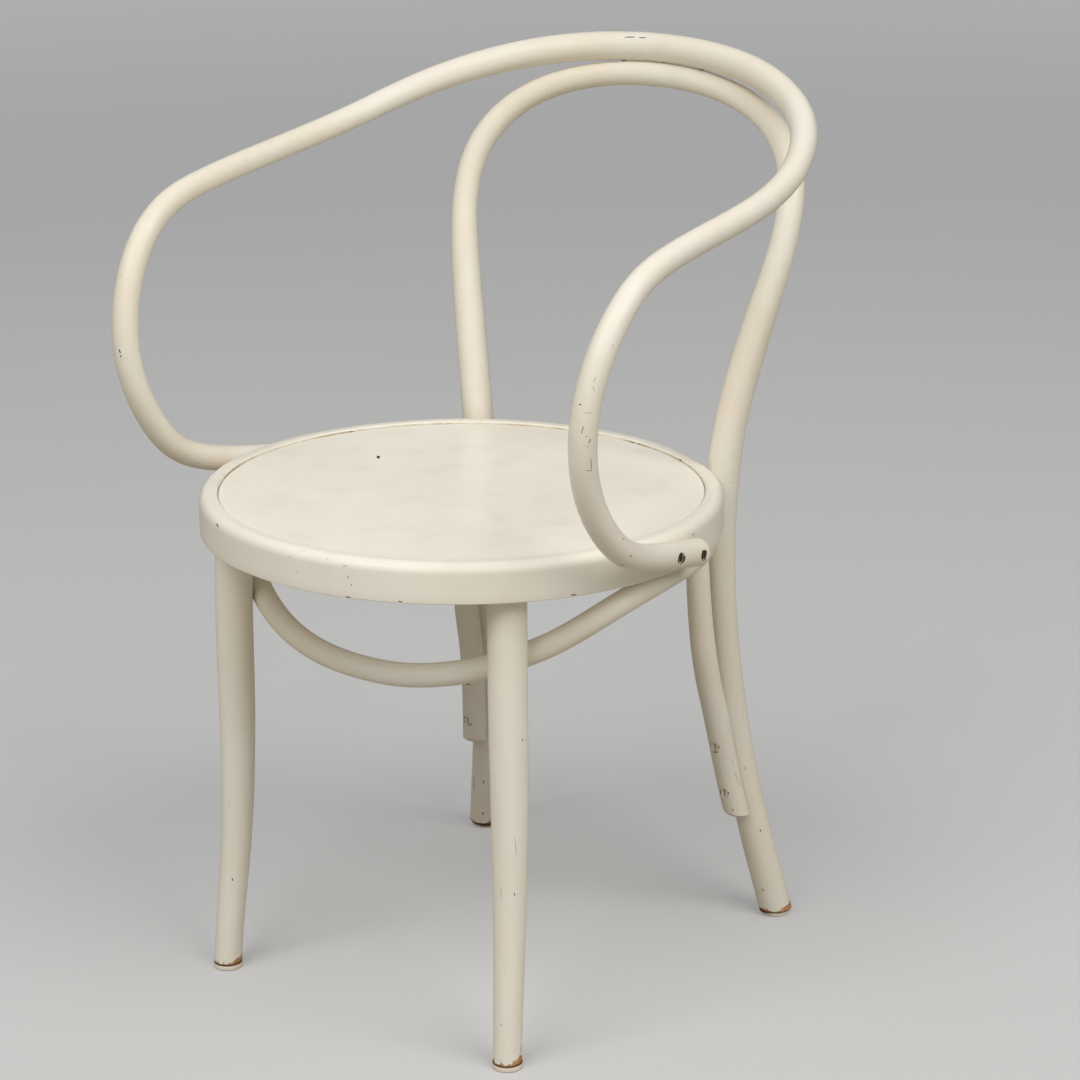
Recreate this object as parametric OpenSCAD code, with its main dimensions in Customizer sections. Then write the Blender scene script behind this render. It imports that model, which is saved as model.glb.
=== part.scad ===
// Bentwood armchair with a round seat, painted ivory.
// Millimetres, +Z up, origin on the floor under the middle of the chair.
// The chair faces -Y. Left and right are those of a person sitting in it,
// so the left arm is on the +X side.

/* [Seat] */
// Height of the seat rim above the floor, at the middle of the seat
seat_h = 462; // [430:1:490]
// Outer diameter of the bent seat ring
seat_d = 470; // [440:1:500]
// Backward slope of the seat in degrees
seat_slope = 1.5; // [0:0.1:3]
// Height of the seat ring
ring_t = 35; // [31:0.5:42]
// Width of the seat ring, from its outer to its inner face
ring_w = 45; // [40:0.5:52]
// Radius of the ring's rounded upper outer edge
ring_round = 9; // [3:0.5:12]
// Radius of the soft edge between the ring's top and the panel
rim_round = 2; // [0.5:0.5:3]
// Width of the ring's top that shows around the panel
rim_w = 17; // [12:0.5:21]
// Thickness of the plywood seat panel
panel_t = 9; // [6:0.5:11]
// How far the panel lies below the top of the ring
panel_drop = 2.5; // [1:0.5:4]

/* [Back] */
// Height of the whole chair
chair_h = 823; // [790:1:860]
// Distance from the seat's middle back to the centre line of the hoop's top
back_reach = 309; // [295:1:325]
// Distance between the centre lines of the back loop at its widest
loop_w = 370; // [345:1:390]
// Diameter of the hoop at the top of the loop
hoop_d = 22.6; // [20:0.2:26]
// Diameter of the rear leg where it passes the seat ring
rear_leg_d = 30; // [26:0.5:34]
// Diameter of the rear leg at its thinnest, halfway down
rear_waist_d = 27.2; // [24:0.2:29]
// Diameter of the rear leg at the floor
rear_foot_d = 31; // [27:0.5:33]
// Angle round the seat, from its side, at which a rear leg passes
rear_leg_angle = 54.5; // [50:0.5:58]
// Depth of the flat by which a rear leg sits against the ring
rear_leg_flat = 1.5; // [0.5:0.1:3]
// How far a rear foot stands out to the side of its leg at the seat
rear_foot_out = 36.2; // [26:0.2:48]
// How far a rear foot stands behind its leg at the seat
rear_foot_back = 39.2; // [23:0.2:60]

/* [Arm rail] */
// Diameter of the rail at the middle of the back
rail_d = 26.8; // [24:0.2:29]
// Diameter of the rail along the arms
arm_d = 22.2; // [20:0.2:25]
// Diameter of the rail at the arms' ends
arm_end_d = 24; // [22:0.2:27]
// Lean of the joint between the hoop and the rail in degrees from upright
rail_lean = 11; // [5:1:17]
// Distance between the centre lines of the arms at their widest
arms_w = 529; // [515:1:550]
// Distance of the arms' front bends ahead of the seat's middle
arm_reach = 156; // [140:1:175]
// Angle round the seat, from its side, at which an arm ends
arm_end_angle = 5.4; // [4:0.1:8]
// Depth of the arm's end below the ring's top, at its centre line
arm_end_drop = 21; // [18:0.5:24]
// Height above its end from which an arm runs level along the seat
arm_level_h = 33.6; // [28:0.2:38]
// Depth of the flat by which an arm sits against the ring
arm_flat = 1.2; // [0.5:0.1:2.5]

/* [Front legs] */
// Angle round the seat, from its side, at which a front leg stands
front_leg_angle = 40; // [37:0.5:43]
// Distance of a front leg's top in from the ring's outer face
front_leg_inset = 30; // [26:0.5:30]
// Diameter of a front leg near its top
front_leg_d = 34; // [30:0.5:36]
// Diameter of a front leg at the floor
front_foot_d = 25.5; // [23:0.5:28]
// How far a front foot stands out to the side of its leg's top
front_foot_out = 10.4; // [0:0.2:20]
// How far a front foot stands ahead of its leg's top
front_foot_ahead = 25.4; // [12:0.2:40]
// Diameter of the round tenon on a front leg
tenon_d = 20; // [14:0.5:22]
// Length of the round tenon
tenon_l = 17; // [12:0.5:18]

/* [Brace hoop] */
// Diameter of the brace hoop along its bow and under the ring
brace_d = 21.2; // [18:0.2:24]
// Diameter of the brace at its ends, against the rear legs
drop_d = 23.4; // [20:0.2:26]
// Distance of the brace's centre line in from the ring's outer face
brace_inset = 16; // [14:0.5:20]
// Distance of the front bow in from the front of the ring
bow_inset = 91; // [84:1:98]
// How far the front bow hangs below the ring's underside
bow_drop = 95; // [80:1:105]
// Direction from a front leg to the bow that passes behind it, in degrees
bow_side = 117; // [112:1:122]
// Depth of the flat by which the brace sits under the ring
brace_flat = 0.8; // [0.5:0.1:2]
// Depth of the flat by which the brace sits against a rear leg
drop_flat = 3.8; // [2.5:0.1:4.5]
// How far the brace's ends reach down from the ring's underside
drop_l = 320; // [300:1:330]
// How much of that is trimmed off to make the ends level
drop_trim = 3; // [2:0.2:6]
// How far the brace stands off a rear leg above their joint
drop_bow = 10.6; // [8:0.2:14]
// Radius of the rounded edge at the brace's ends
drop_round = 10; // [6:0.5:11]
// How far behind the rod's middle the rounded edge is centred
drop_round_back = 1.6; // [1:0.2:5]
// How far in front of the rod the rounded edge runs out, because the rod leans forward above
drop_round_out = 2.1; // [1.8:0.1:3]

/* [Glides and fixings] */
// Diameter of a plastic glide
glide_d = 27.4; // [25:0.2:30]
// Thickness of a glide
glide_t = 5; // [4:0.5:7]
// Head diameter of the slotted wood screws
screw_head_d = 8.6; // [7:0.2:9.4]
// Shank diameter of the slotted wood screws
screw_d = 4.5; // [3.5:0.1:5]
// Length of the screws through the arms into the ring
arm_screw_l = 38; // [34:1:42]
// Distance between the two screws of an arm
arm_screw_gap = 32; // [26:1:36]
// Distance of the last arm screw from the arm's end
arm_screw_end = 10; // [9:0.2:13]
// Length of the screws through the brace into the rear legs
drop_screw_l = 32; // [26:1:34]
// Depth of the upper screw of each pair below the ring's underside
drop_screw_top = 243; // [238:1:248]
// Distance between the two screws of a pair in the brace
drop_screw_gap = 48; // [36:1:52]
// Length of the screws from the brace up into the ring
ring_screw_l = 32; // [28:1:36]
// Length of the screws from the bow into the front legs
leg_screw_l = 38; // [32:1:42]
// Length of the screws from the hoop up into the rail
rail_screw_l = 36; // [30:1:38]
// Distance between the outer screws in the top of the hoop and its middle
rail_screw_gap = 45; // [30:1:55]
// Shank diameter of the coach screws that hold the rear legs
bolt_d = 7; // [5:0.5:8]
// Length of the coach screws that hold the rear legs
bolt_l = 66; // [60:1:70]
// Width of a coach screw's head across its flats
bolt_head_w = 11; // [9:0.5:12]
// Outer diameter of the washers under the coach screws
washer_d = 18; // [16:0.5:20]

/* [Clearances] */
// Gap between two pieces of wood that sit against each other
wood_gap = 0.25; // [0.2:0.05:0.4]
// Gap all round a screw, a nail or a tenon in its hole
hole_gap = 0.15; // [0.1:0.05:0.3]

/* [Hidden] */
$fn = 64;

// Finish
IVORY = [0.90, 0.87, 0.79];
GLIDE = [0.93, 0.92, 0.88];
STEEL = [0.55, 0.53, 0.50];
RUST = [0.30, 0.22, 0.17];

// Sizes that small fixings share
bolt_head_t = 4.5;
washer_t = 1.6;
nail_d = 2.2;
nail_l = 20;
nail_head_d = 6.4;
nail_head_t = 1;
nail_sunk = 0.6;
slot_w = 1.2;
slot_deep = 1.3;
screw_sunk = 1.2;
edge_soft = 1.2;
clear_out = 30;

// Fineness of the bent rods
rod_sides = 16;
brace_sides = 14;
rod_step = 19;
leg_step = 26;

// Where the bent rods start and end, from the sizes above
seat_r = seat_d / 2;
rail_z = chair_h - rail_d / 2;
rail_off = (hoop_d + rail_d) / 2 + wood_gap;
hoop_z = rail_z - rail_off * cos(rail_lean);
rail_reach = back_reach + rail_off * sin(rail_lean);
// The seat's middle lies ahead of the origin, which is midway from front to back
axis_y = (seat_r * cos(seat_slope) + ring_t * sin(seat_slope) - rail_reach - rail_d / 2) / 2;

// A point given round the seat's own axis and down from its rim, in the chair's frame
function from_seat(p) = [
    p.x,
    p.y * cos(seat_slope) + p.z * sin(seat_slope) + axis_y,
    p.z * cos(seat_slope) - p.y * sin(seat_slope) + seat_h];
// The reverse of from_seat
function to_seat(p) = let (y = p.y - axis_y, z = p.z - seat_h) [
    p.x,
    y * cos(seat_slope) - z * sin(seat_slope),
    z * cos(seat_slope) + y * sin(seat_slope)];
// A point on a circle round the seat's axis
function round_seat(r, a, z) = from_seat([r * cos(a), r * sin(a), z]);
// A direction round the seat's axis
function seat_way(v) = from_seat(v) - from_seat([0, 0, 0]);

// Smooth curves through stations
function unit(v) = v / norm(v);
function ends(v) = v[len(v) - 1];
function xyz(p) = [p.x, p.y, p.z];
function flip(p) = [-p.x, p.y, p.z, p[3]];
// Both halves of a symmetric rod from the half on the +X side, which starts in the middle
function both_sides(half) = concat([for (i = [len(half) - 1:-1:1]) flip(half[i])], half);
// Distance along the stations
function run(p) = [for (i = 0, s = 0; i < len(p);
    i = i + 1, s = s + (i < len(p) ? norm(xyz(p[i]) - xyz(p[i - 1])) : 0)) s];
// Forward pass of the tridiagonal system of a natural cubic spline
function forward(p, t) = [for (i = 1, c = 0, d = 0 * p[0];
    i < len(p);
    h = t[i] - t[i - 1],
    k = i + 1 < len(p) ? t[i + 1] - t[i] : 1,
    w = 2 * (h + k) - h * c,
    d = i + 1 < len(p) ? (6 * ((p[i + 1] - p[i]) / k - (p[i] - p[i - 1]) / h) - h * d) / w : d,
    c = k / w,
    i = i + 1) [c, d]];
// Second derivatives at the stations, from last to first
function backward(f) = [for (i = len(f) - 1, m = 0 * f[0][1]; i >= 0;
    m = f[i][1] - f[i][0] * m, i = i - 1) m];
function second(p, t) = let (b = backward(forward(p, t)), n = len(b))
    concat([0 * p[0]], [for (i = [1:n - 1]) b[n - i]], [b[0]]);
// One point of the spline between stations i and i + 1, at share u
function between(p, t, m, i, u) = let (h = t[i + 1] - t[i], v = 1 - u)
    v * p[i] + u * p[i + 1] + h * h / 6 * ((v * v * v - v) * m[i] + (u * u * u - u) * m[i + 1]);
// Points about one step apart on a natural cubic spline through the stations
function bend(p, step) = let (t = run(p), m = second(p, t)) concat(
    [for (i = [0:len(p) - 2], n = max(1, ceil((t[i + 1] - t[i]) / step)), j = [0:n - 1])
        between(p, t, m, i, j / n)],
    [ends(p)]);

// Swept rods
// Direction of the path at point i
function heading(p, i) = unit(xyz(p[min(i + 1, len(p) - 1)]) - xyz(p[max(i - 1, 0)]));
// Side vectors that turn as little as they can along the path
function sides_of(t) = [for (i = 0, n = unit(cross(t[0], [0.3, 0.2, 1])); i < len(t);
    i = i + 1, n = i < len(t) ? unit(n - (n * t[i]) * t[i]) : n) n];
// A ring of points round one point of the path
function ring_at(c, d, t, n, count) = let (b = cross(t, n))
    [for (k = [0:count - 1]) c + d / 2 * (cos(360 * k / count) * n + sin(360 * k / count) * b)];
// Rings that round the end of a rod off, from its face inwards
function cap(c, d, t, n, soft, count) = [for (a = [0, 30, 60])
    ring_at(c + t * soft * (1 - cos(a)), d - 2 * soft * (1 - sin(a)), t, n, count)];

// A rod along path, whose points hold a place and a diameter. soft rounds its ends,
// start and finish are the directions its end faces look along, and fit moves each
// point of its skin clear of what the rod sits against.
module rod(path, count, soft = [edge_soft, edge_soft], start = undef, finish = undef,
        fit = function (p) p) {
    n = len(path) - 1;
    t = [for (i = [0:n])
        i == 0 && !is_undef(start) ? start : i == n && !is_undef(finish) ? finish : heading(path, i)];
    s = sides_of(t);
    first = cap(xyz(path[0]), path[0][3], t[0], s[0], soft[0], count);
    mid = [for (i = [1:n - 1]) ring_at(xyz(path[i]), path[i][3], t[i], s[i], count)];
    last = cap(xyz(path[n]), path[n][3], -t[n], s[n], soft[1], count);
    // The last cap is built looking back along the path, so its rings run the other way round
    back = [for (i = [len(last) - 1:-1:0]) [for (k = [0:count - 1]) last[i][(count - k) % count]]];
    skins = concat(first, mid, back);
    points = [for (ring = skins, p = ring) fit(p)];
    rings = len(skins);
    faces = concat(
        [[for (k = [0:count - 1]) k]],
        [for (i = [0:rings - 2], k = [0:count - 1], half = [0, 1]) let (m = (k + 1) % count)
            half == 0
                ? [i * count + k, (i + 1) * count + k, i * count + m]
                : [i * count + m, (i + 1) * count + k, (i + 1) * count + m]],
        [[for (k = [count - 1:-1:0]) (rings - 1) * count + k]]);
    polyhedron(points, faces, convexity = 10);
}

// Bent rods, each as stations on its +X half

// Back hoop: the inner loop of the back, whose ends run on down as the rear legs
rear_seat_r = seat_r + rear_leg_d / 2 - rear_leg_flat;
rear_seat = round_seat(rear_seat_r, rear_leg_angle, -ring_t / 2);
hoop_top = [0, back_reach + axis_y, hoop_z];
rear_foot = [rear_seat.x + rear_foot_out, rear_seat.y + rear_foot_back, glide_t];
loop_x = loop_w / 2;
// Shares of the loop's half width, of the way back and of the way up from the seat,
// and the share of the taper from the leg's thickness to the hoop's
LOOP = [[0, 1, 1, 1], [0.528, 0.906, 0.966, 0.95], [0.782, 0.763, 0.907, 0.85],
    [0.906, 0.633, 0.846, 0.8], [0.984, 0.485, 0.761, 0.78], [1, 0.386, 0.687, 0.78],
    [0.942, 0.2, 0.481, 0.35], [0.804, 0.016, 0.119, 0.05]];
// Shares of the way out, of the way back, of the way down from the seat to the foot and
// of the narrowing to the waist
REAR_LEG = [[0, 0, 0, 0], [-0.08, 0.016, 0.162, 0.8], [0.02, 0.2, 0.435, 1],
    [0.37, 0.513, 0.711, 0.35], [1, 1, 1, 0]];
loop_half = [for (s = LOOP) [
    loop_x * s[0],
    rear_seat.y + (hoop_top.y - rear_seat.y) * s[1],
    rear_seat.z + (hoop_top.z - rear_seat.z) * s[2],
    rear_leg_d + (hoop_d - rear_leg_d) * s[3]]];
leg_half = [for (s = REAR_LEG) let (d = rear_leg_d + (rear_foot_d - rear_leg_d) * s[2]) [
    rear_seat.x + (rear_foot.x - rear_seat.x) * s[0],
    rear_seat.y + (rear_foot.y - rear_seat.y) * s[1],
    rear_seat.z + (rear_foot.z - rear_seat.z) * s[2],
    d + (rear_waist_d - d) * s[3]]];
hoop_path = bend(both_sides(concat(loop_half, leg_half)), rod_step);

// The rear leg's centre line and thickness at a height
rear_line = [for (p = hoop_path) if (p.x > 0 && p.z < seat_h + ring_t) p];
function rear_x(z) = lookup(z, [for (p = rear_line) [p.z, p.x]]);
function rear_y(z) = lookup(z, [for (p = rear_line) [p.z, p.y]]);
function rear_r(z) = lookup(z, [for (p = rear_line) [p.z, p[3] / 2]]);

// Arm rail: the outer rail of the back, whose ends run forward as the arms and curl
// down and back to the sides of the seat
arm_end = round_seat(seat_r + arm_end_d / 2 - arm_flat, arm_end_angle, -arm_end_drop);
arm_front_y = axis_y - arm_reach;
arm_x = arms_w / 2;
rail_back_y = axis_y + rail_reach;
// Shares of the half width, of the way from the front bend back, of the way up from the
// arm's end and of the swelling from the arms' thickness to that of the back
ARM_TOP = [[0, 1, 1, 1], [0.497, 0.941, 0.969, 0.97], [0.812, 0.806, 0.895, 0.5],
    [0.942, 0.651, 0.826, 0.1], [0.996, 0.247, 0.745, 0], [1, 0.135, 0.703, 0.05],
    [0.999, 0.084, 0.654, 0.2], [0.981, 0.011, 0.496, 0.35]];
// Shares of the way in from the arm's width to its end, of the way back, of the way up
// and of the swelling from the arms' thickness to that of their ends
ARM_CURL = [[0.42, 0.002, 0.363, 0.9], [0.569, 0.113, 0.206, 1]];
// The same on the stretch along the seat, where the third share is of arm_level_h
ARM_LEVEL = [[0.6, 0.334, 1, 1], [0.793, 0.536, 0.55, 1], [0.918, 0.758, 0.264, 1], [1, 1, 0, 1]];
function curl_station(s, rise) = [
    arm_x + (arm_end.x - arm_x) * s[0],
    arm_front_y + (arm_end.y - arm_front_y) * s[1],
    arm_end.z + rise * s[2],
    arm_d + (arm_end_d - arm_d) * s[3]];
rail_half = concat(
    [for (s = ARM_TOP) [
        arm_x * s[0],
        arm_front_y + (rail_back_y - arm_front_y) * s[1],
        arm_end.z + (rail_z - arm_end.z) * s[2],
        arm_d + (rail_d - arm_d) * s[3]]],
    [for (s = ARM_CURL) curl_station(s, rail_z - arm_end.z)],
    [for (s = ARM_LEVEL) curl_station(s, arm_level_h)]);
rail_path = bend(both_sides(rail_half), rod_step);

// Front legs: upright at the seat, with a gentle outward curve to the foot
front_top_r = seat_r - front_leg_inset;
front_top = round_seat(front_top_r, -front_leg_angle, -ring_t);
front_foot = [front_top.x + front_foot_out, front_top.y - front_foot_ahead, glide_t];
// Shares of the way down, of the way out to the foot and of the taper
FRONT_LEG = [[0, 0, 0.05], [0.165, 0.13, 0], [0.353, 0.19, 0.06], [0.541, 0.28, 0.33],
    [0.729, 0.5, 0.69], [0.918, 0.87, 0.96], [1, 1, 1]];
front_path = bend([for (s = FRONT_LEG) [
    front_top.x + (front_foot.x - front_top.x) * s[1],
    front_top.y + (front_foot.y - front_top.y) * s[1],
    front_top.z + (front_foot.z - front_top.z) * s[0],
    front_leg_d + (front_foot_d - front_leg_d) * s[2]]], leg_step);
function front_x(z) = lookup(z, [for (p = front_path) [p.z, p.x]]);
function front_y(z) = lookup(z, [for (p = front_path) [p.z, p.y]]);
function front_r(z) = lookup(z, [for (p = front_path) [p.z, p[3] / 2]]);

// Brace hoop: a bow behind the front legs that rises under the ring, follows it and
// turns down along the front of the rear legs
brace_r = seat_r - brace_inset;
brace_z = -ring_t - brace_d / 2 + brace_flat;
under_from = 6;
under_to = 42;
under_step = 12;
under_start = round_seat(brace_r, under_from, brace_z);
bow_mid = [0, axis_y - seat_r + bow_inset, seat_h - ring_t - bow_drop];
// Shares of the way out, of the way back and of the way up from the bow to the ring,
// ahead of the front leg and behind it, and of the way up where it passes the leg
BOW_AHEAD = [[0, 0, 0], [0.212, 0.014, 0.027], [0.4, 0.057, 0.115], [0.587, 0.147, 0.257]];
BOW_BEHIND = [[0.789, 0.298, 0.509], [0.98, 0.515, 0.885]];
BOW_AT_LEG = 0.35;
function bow_station(s) = [
    under_start.x * s[0],
    bow_mid.y + (under_start.y - bow_mid.y) * s[1],
    bow_mid.z + (under_start.z - bow_mid.z) * s[2],
    brace_d];
bow_leg_z = bow_mid.z + (under_start.z - bow_mid.z) * BOW_AT_LEG;
bow_off = front_r(bow_leg_z) + brace_d / 2 + wood_gap;
bow_at_leg = [front_x(bow_leg_z) + bow_off * cos(bow_side),
    front_y(bow_leg_z) + bow_off * sin(bow_side), bow_leg_z, brace_d];
// How far down from the ring's underside the upper stations of the drop lie, and how
// far up from its end the lower ones
DROP = [40, 80, 120, 155, 180, 205];
DROP_END = [70, 35, 0];
// Shares of the stand-off and sideways offsets at depths below the ring
STAND_OFF = [[40, 0.91], [80, 1.02], [120, 1.1], [155, 1.1], [180, 0.86], [205, 0.5],
    [243, 0.16], [280, -0.02], [317, -0.18]];
SIDE_OFF = [[40, -3.5], [85, -3], [125, -1.5], [155, 0]];
function drop_station(down) = let (
        z = seat_h - ring_t - down,
        d = lookup(down, [[DROP[0], brace_d], [DROP[3], drop_d]])) [
    rear_x(z) + lookup(down, SIDE_OFF),
    rear_y(z) - rear_r(z) - wood_gap - d / 2 + drop_flat - drop_bow * lookup(down, STAND_OFF),
    z,
    d];
brace_half = concat(
    [for (s = BOW_AHEAD) bow_station(s)],
    [bow_at_leg],
    [for (s = BOW_BEHIND) bow_station(s)],
    [for (a = [under_from:under_step:under_to]) concat(round_seat(brace_r, a, brace_z), [brace_d])],
    [for (down = DROP) drop_station(down)],
    [for (up = DROP_END) drop_station(drop_l - up)]);
brace_path = bend(both_sides(brace_half), rod_step);

// Skins moved clear of their neighbours
near_ring = 8;
// Clear of the ring's outer face
function beside_ring(p) = let (q = to_seat(p), r = norm([q.x, q.y]), f = (seat_r + wood_gap) / r)
    f > 1 && q.z > -ring_t - near_ring && q.z < near_ring ? from_seat([q.x * f, q.y * f, q.z]) : p;
// Clear of the ring's underside
function below_ring(p) = let (q = to_seat(p))
    norm([q.x, q.y]) < seat_r + near_ring && q.z > -ring_t - wood_gap && q.z < 0
        ? from_seat([q.x, q.y, -ring_t - wood_gap]) : p;
// Clear of the front legs
function behind_legs(p) = let (c = [sign(p.x) * front_x(p.z), front_y(p.z)],
        v = [p.x, p.y] - c, f = (front_r(p.z) + wood_gap) / norm(v))
    f > 1 && p.y < axis_y ? [c.x + v.x * f, c.y + v.y * f, p.z] : p;
// Clear of the rear legs
function before_legs(p) = let (y = rear_y(p.z) - rear_r(p.z) - wood_gap)
    p.y > y && p.z < seat_h - ring_t ? [p.x, y, p.z] : p;
// The same as values, in the form that rod takes
hoop_fit = function (p) beside_ring(p);
brace_fit = function (p) before_legs(behind_legs(below_ring(p)));

// Fixings
// Puts its children at p, with their +Z along d
module aim(p, d) {
    translate(xyz(p))
        rotate([0, acos(d.z / norm(d)), atan2(d.y, d.x)])
            children();
}

// Countersunk slotted wood screw, head at the origin, driven along +Z
module wood_screw(l) {
    cone = (screw_head_d - screw_d) / 2;
    difference() {
        rotate_extrude()
            polygon([[0, 0], [screw_head_d / 2, 0], [screw_d / 2, cone], [screw_d / 2, l - screw_d],
                [0, l]]);
        translate([-screw_head_d, -slot_w / 2, -1])
            cube([2 * screw_head_d, slot_w, 1 + slot_deep]);
    }
}

// The hole for such a screw, open on its head's side
module screw_hole(l) {
    head = screw_head_d / 2 + hole_gap;
    shank = screw_d / 2 + hole_gap;
    rotate_extrude()
        polygon([[0, -clear_out], [head, -clear_out], [head, 0], [shank, head - shank],
            [shank, l + hole_gap], [0, l + hole_gap]]);
}

// Arm screws: radial, through the arm into the ring
arm_out = seat_r + arm_end_d - arm_flat - screw_sunk;
function arm_angle(k) = arm_end_angle - (arm_screw_end + k * arm_screw_gap) / seat_r * 180 / PI;
function arm_screw_z(k) = let (p = [for (q = rail_half) to_seat(xyz(q))], n = len(p) - 1)
    lookup(arm_angle(k), [for (i = [n - 2:n]) [atan2(p[i].y, p[i].x), p[i].z]]);
module arm_screw_sites(side) {
    for (k = [0, 1]) {
        a = arm_angle(k);
        p = round_seat(arm_out, a, arm_screw_z(k));
        d = seat_way([-cos(a), -sin(a), 0]);
        aim([side * p.x, p.y, p.z], [side * d.x, d.y, d.z])
            children();
    }
}

// Screws from the ends of the brace into the rear legs
module brace_screw_sites(side) {
    for (down = [drop_screw_top, drop_screw_top + drop_screw_gap]) {
        p = drop_station(down);
        aim([side * p.x, p.y - drop_d / 2 + screw_sunk, p.z], [0, 1, 0])
            children();
    }
}

// Screws from the brace up into the ring
module ring_screw_sites() {
    for (side = [-1, 1], a = [12, 34]) {
        p = round_seat(brace_r, a, brace_z - brace_d / 2 + screw_sunk);
        aim([side * p.x, p.y, p.z], seat_way([0, 0, 1]))
            children();
    }
}

// Screws from the bow into the front legs
module leg_screw_sites() {
    for (side = [-1, 1]) {
        d = [-cos(bow_side), -sin(bow_side), 0];
        p = xyz(bow_at_leg) - (brace_d / 2 - screw_sunk) * d;
        aim([side * p.x, p.y, p.z], [side * d.x, d.y, 0])
            children();
    }
}

// Screws from the top of the hoop up into the rail
top_band = 60;
function on_path(path, x) = let (top = [for (p = path) if (p.x >= 0 && p.z > rail_z - top_band) p])
    [x, lookup(abs(x), [for (p = top) [p.x, p.y]]), lookup(abs(x), [for (p = top) [p.x, p.z]])];
module rail_screw_sites() {
    for (x = [-rail_screw_gap, 0, rail_screw_gap]) {
        low = on_path(hoop_path, x);
        d = unit(on_path(rail_path, x) - low);
        aim(low - (hoop_d / 2 - screw_sunk) * d, d)
            children();
    }
}

// Coach screws from inside the ring out into the rear legs
bolt_z = -(panel_drop + panel_t + ring_t) / 2;
bolt_from = seat_r - ring_w + hole_gap;
module bolt_sites() {
    for (side = [-1, 1]) {
        p = round_seat(bolt_from, rear_leg_angle, bolt_z);
        d = seat_way([cos(rear_leg_angle), sin(rear_leg_angle), 0]);
        aim([side * p.x, p.y, p.z], [side * d.x, d.y, d.z])
            children();
    }
}

// The hole for a coach screw, with the flat that its washer sits on
module bolt_hole() {
    translate([0, 0, -clear_out])
        cylinder(h = clear_out, d = washer_d + 2 * hole_gap);
    translate([0, 0, -1])
        cylinder(h = bolt_l + 1 - washer_t + hole_gap, d = bolt_d + 2 * hole_gap);
}

// Feet
function foot_at(side, front) = front ? [side * front_foot.x, front_foot.y, 0]
    : [side * rear_foot.x, rear_foot.y, 0];

module nail_hole() {
    translate([0, 0, -1])
        cylinder(h = nail_sunk + nail_l + hole_gap + 1, d = nail_d + 2 * hole_gap);
}

// Sub-parts
module seat_ring() {
    out = seat_r;
    inner = seat_r - ring_w;
    step = seat_r - rim_w + wood_gap;
    floor_z = -panel_drop - panel_t;
    color(IVORY)
        difference() {
            translate([0, axis_y, seat_h])
                rotate([-seat_slope, 0, 0])
                    difference() {
                        rotate_extrude($fn = 180) {
                            difference() {
                                translate([inner, -ring_t])
                                    square([ring_w, ring_t]);
                                translate([inner - 1, floor_z])
                                    square([step - inner + 1, ring_t]);
                                translate([out - ring_round, -ring_round])
                                    difference() {
                                        square(ring_round + 1);
                                        circle(r = ring_round);
                                    }
                                translate([step, -rim_round])
                                    difference() {
                                        translate([-1, 0])
                                            square(rim_round + 1);
                                        translate([rim_round, 0])
                                            circle(r = rim_round);
                                    }
                                translate([out, -ring_t])
                                    rotate(45)
                                        square(edge_soft, center = true);
                                translate([inner, -ring_t])
                                    rotate(45)
                                        square(edge_soft, center = true);
                            }
                        }
                        for (side = [-1, 1])
                            rotate(90 - side * (90 + front_leg_angle))
                                translate([front_top_r, 0, -ring_t - 1])
                                    cylinder(h = tenon_l + 2, d = tenon_d + 2 * hole_gap);
                    }
            for (side = [-1, 1])
                arm_screw_sites(side)
                    screw_hole(arm_screw_l);
            ring_screw_sites()
                screw_hole(ring_screw_l);
            bolt_sites()
                bolt_hole();
        }
}

module seat_panel() {
    r = seat_r - rim_w;
    color(IVORY)
        translate([0, axis_y, seat_h])
            rotate([-seat_slope, 0, 0])
                rotate_extrude($fn = 180)
                    polygon([[0, -panel_drop - panel_t], [r, -panel_drop - panel_t],
                        [r, -panel_drop - edge_soft], [r - edge_soft, -panel_drop],
                        [0, -panel_drop]]);
}

module back_hoop() {
    color(IVORY)
        difference() {
            rod(hoop_path, rod_sides, start = [0, 0, 1], finish = [0, 0, -1], fit = hoop_fit);
            bolt_sites()
                bolt_hole();
            for (side = [-1, 1]) {
                brace_screw_sites(side)
                    screw_hole(drop_screw_l);
                translate(foot_at(side, false))
                    nail_hole();
            }
            rail_screw_sites()
                screw_hole(rail_screw_l);
        }
}

module arm_rail() {
    color(IVORY)
        difference() {
            rod(rail_path, rod_sides, soft = [3, 3], fit = hoop_fit);
            for (side = [-1, 1])
                arm_screw_sites(side)
                    screw_hole(arm_screw_l);
            rail_screw_sites()
                screw_hole(rail_screw_l);
        }
}

// The rounded outline kept at an end of the brace
module drop_plug() {
    plug_r = drop_d / 2 + drop_round_back + drop_round_out;
    rotate_extrude()
        polygon(concat(
            [[0, 0]],
            [for (a = [270:10:360])
                [plug_r - drop_round + drop_round * cos(a), drop_round + drop_round * sin(a)]],
            [[plug_r, drop_round + 1], [0, drop_round + 1]]));
}

// What is cut away to make an end of the brace level and rounded towards the front and the sides
module drop_corner(side) {
    p = drop_station(drop_l - drop_trim);
    translate([side * p.x, p.y, p.z])
        difference() {
            translate([-drop_d, -drop_d, -drop_d])
                cube([2 * drop_d, 2 * drop_d, drop_d + drop_round]);
            translate([0, drop_round_back, 0])
                drop_plug();
        }
}

module brace_hoop() {
    color(IVORY)
        difference() {
            rod(brace_path, brace_sides, soft = [edge_soft, edge_soft], fit = brace_fit);
            for (side = [-1, 1])
                drop_corner(side);
            for (side = [-1, 1])
                brace_screw_sites(side)
                    screw_hole(drop_screw_l);
            ring_screw_sites()
                screw_hole(ring_screw_l);
            leg_screw_sites()
                screw_hole(leg_screw_l);
        }
}

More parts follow.
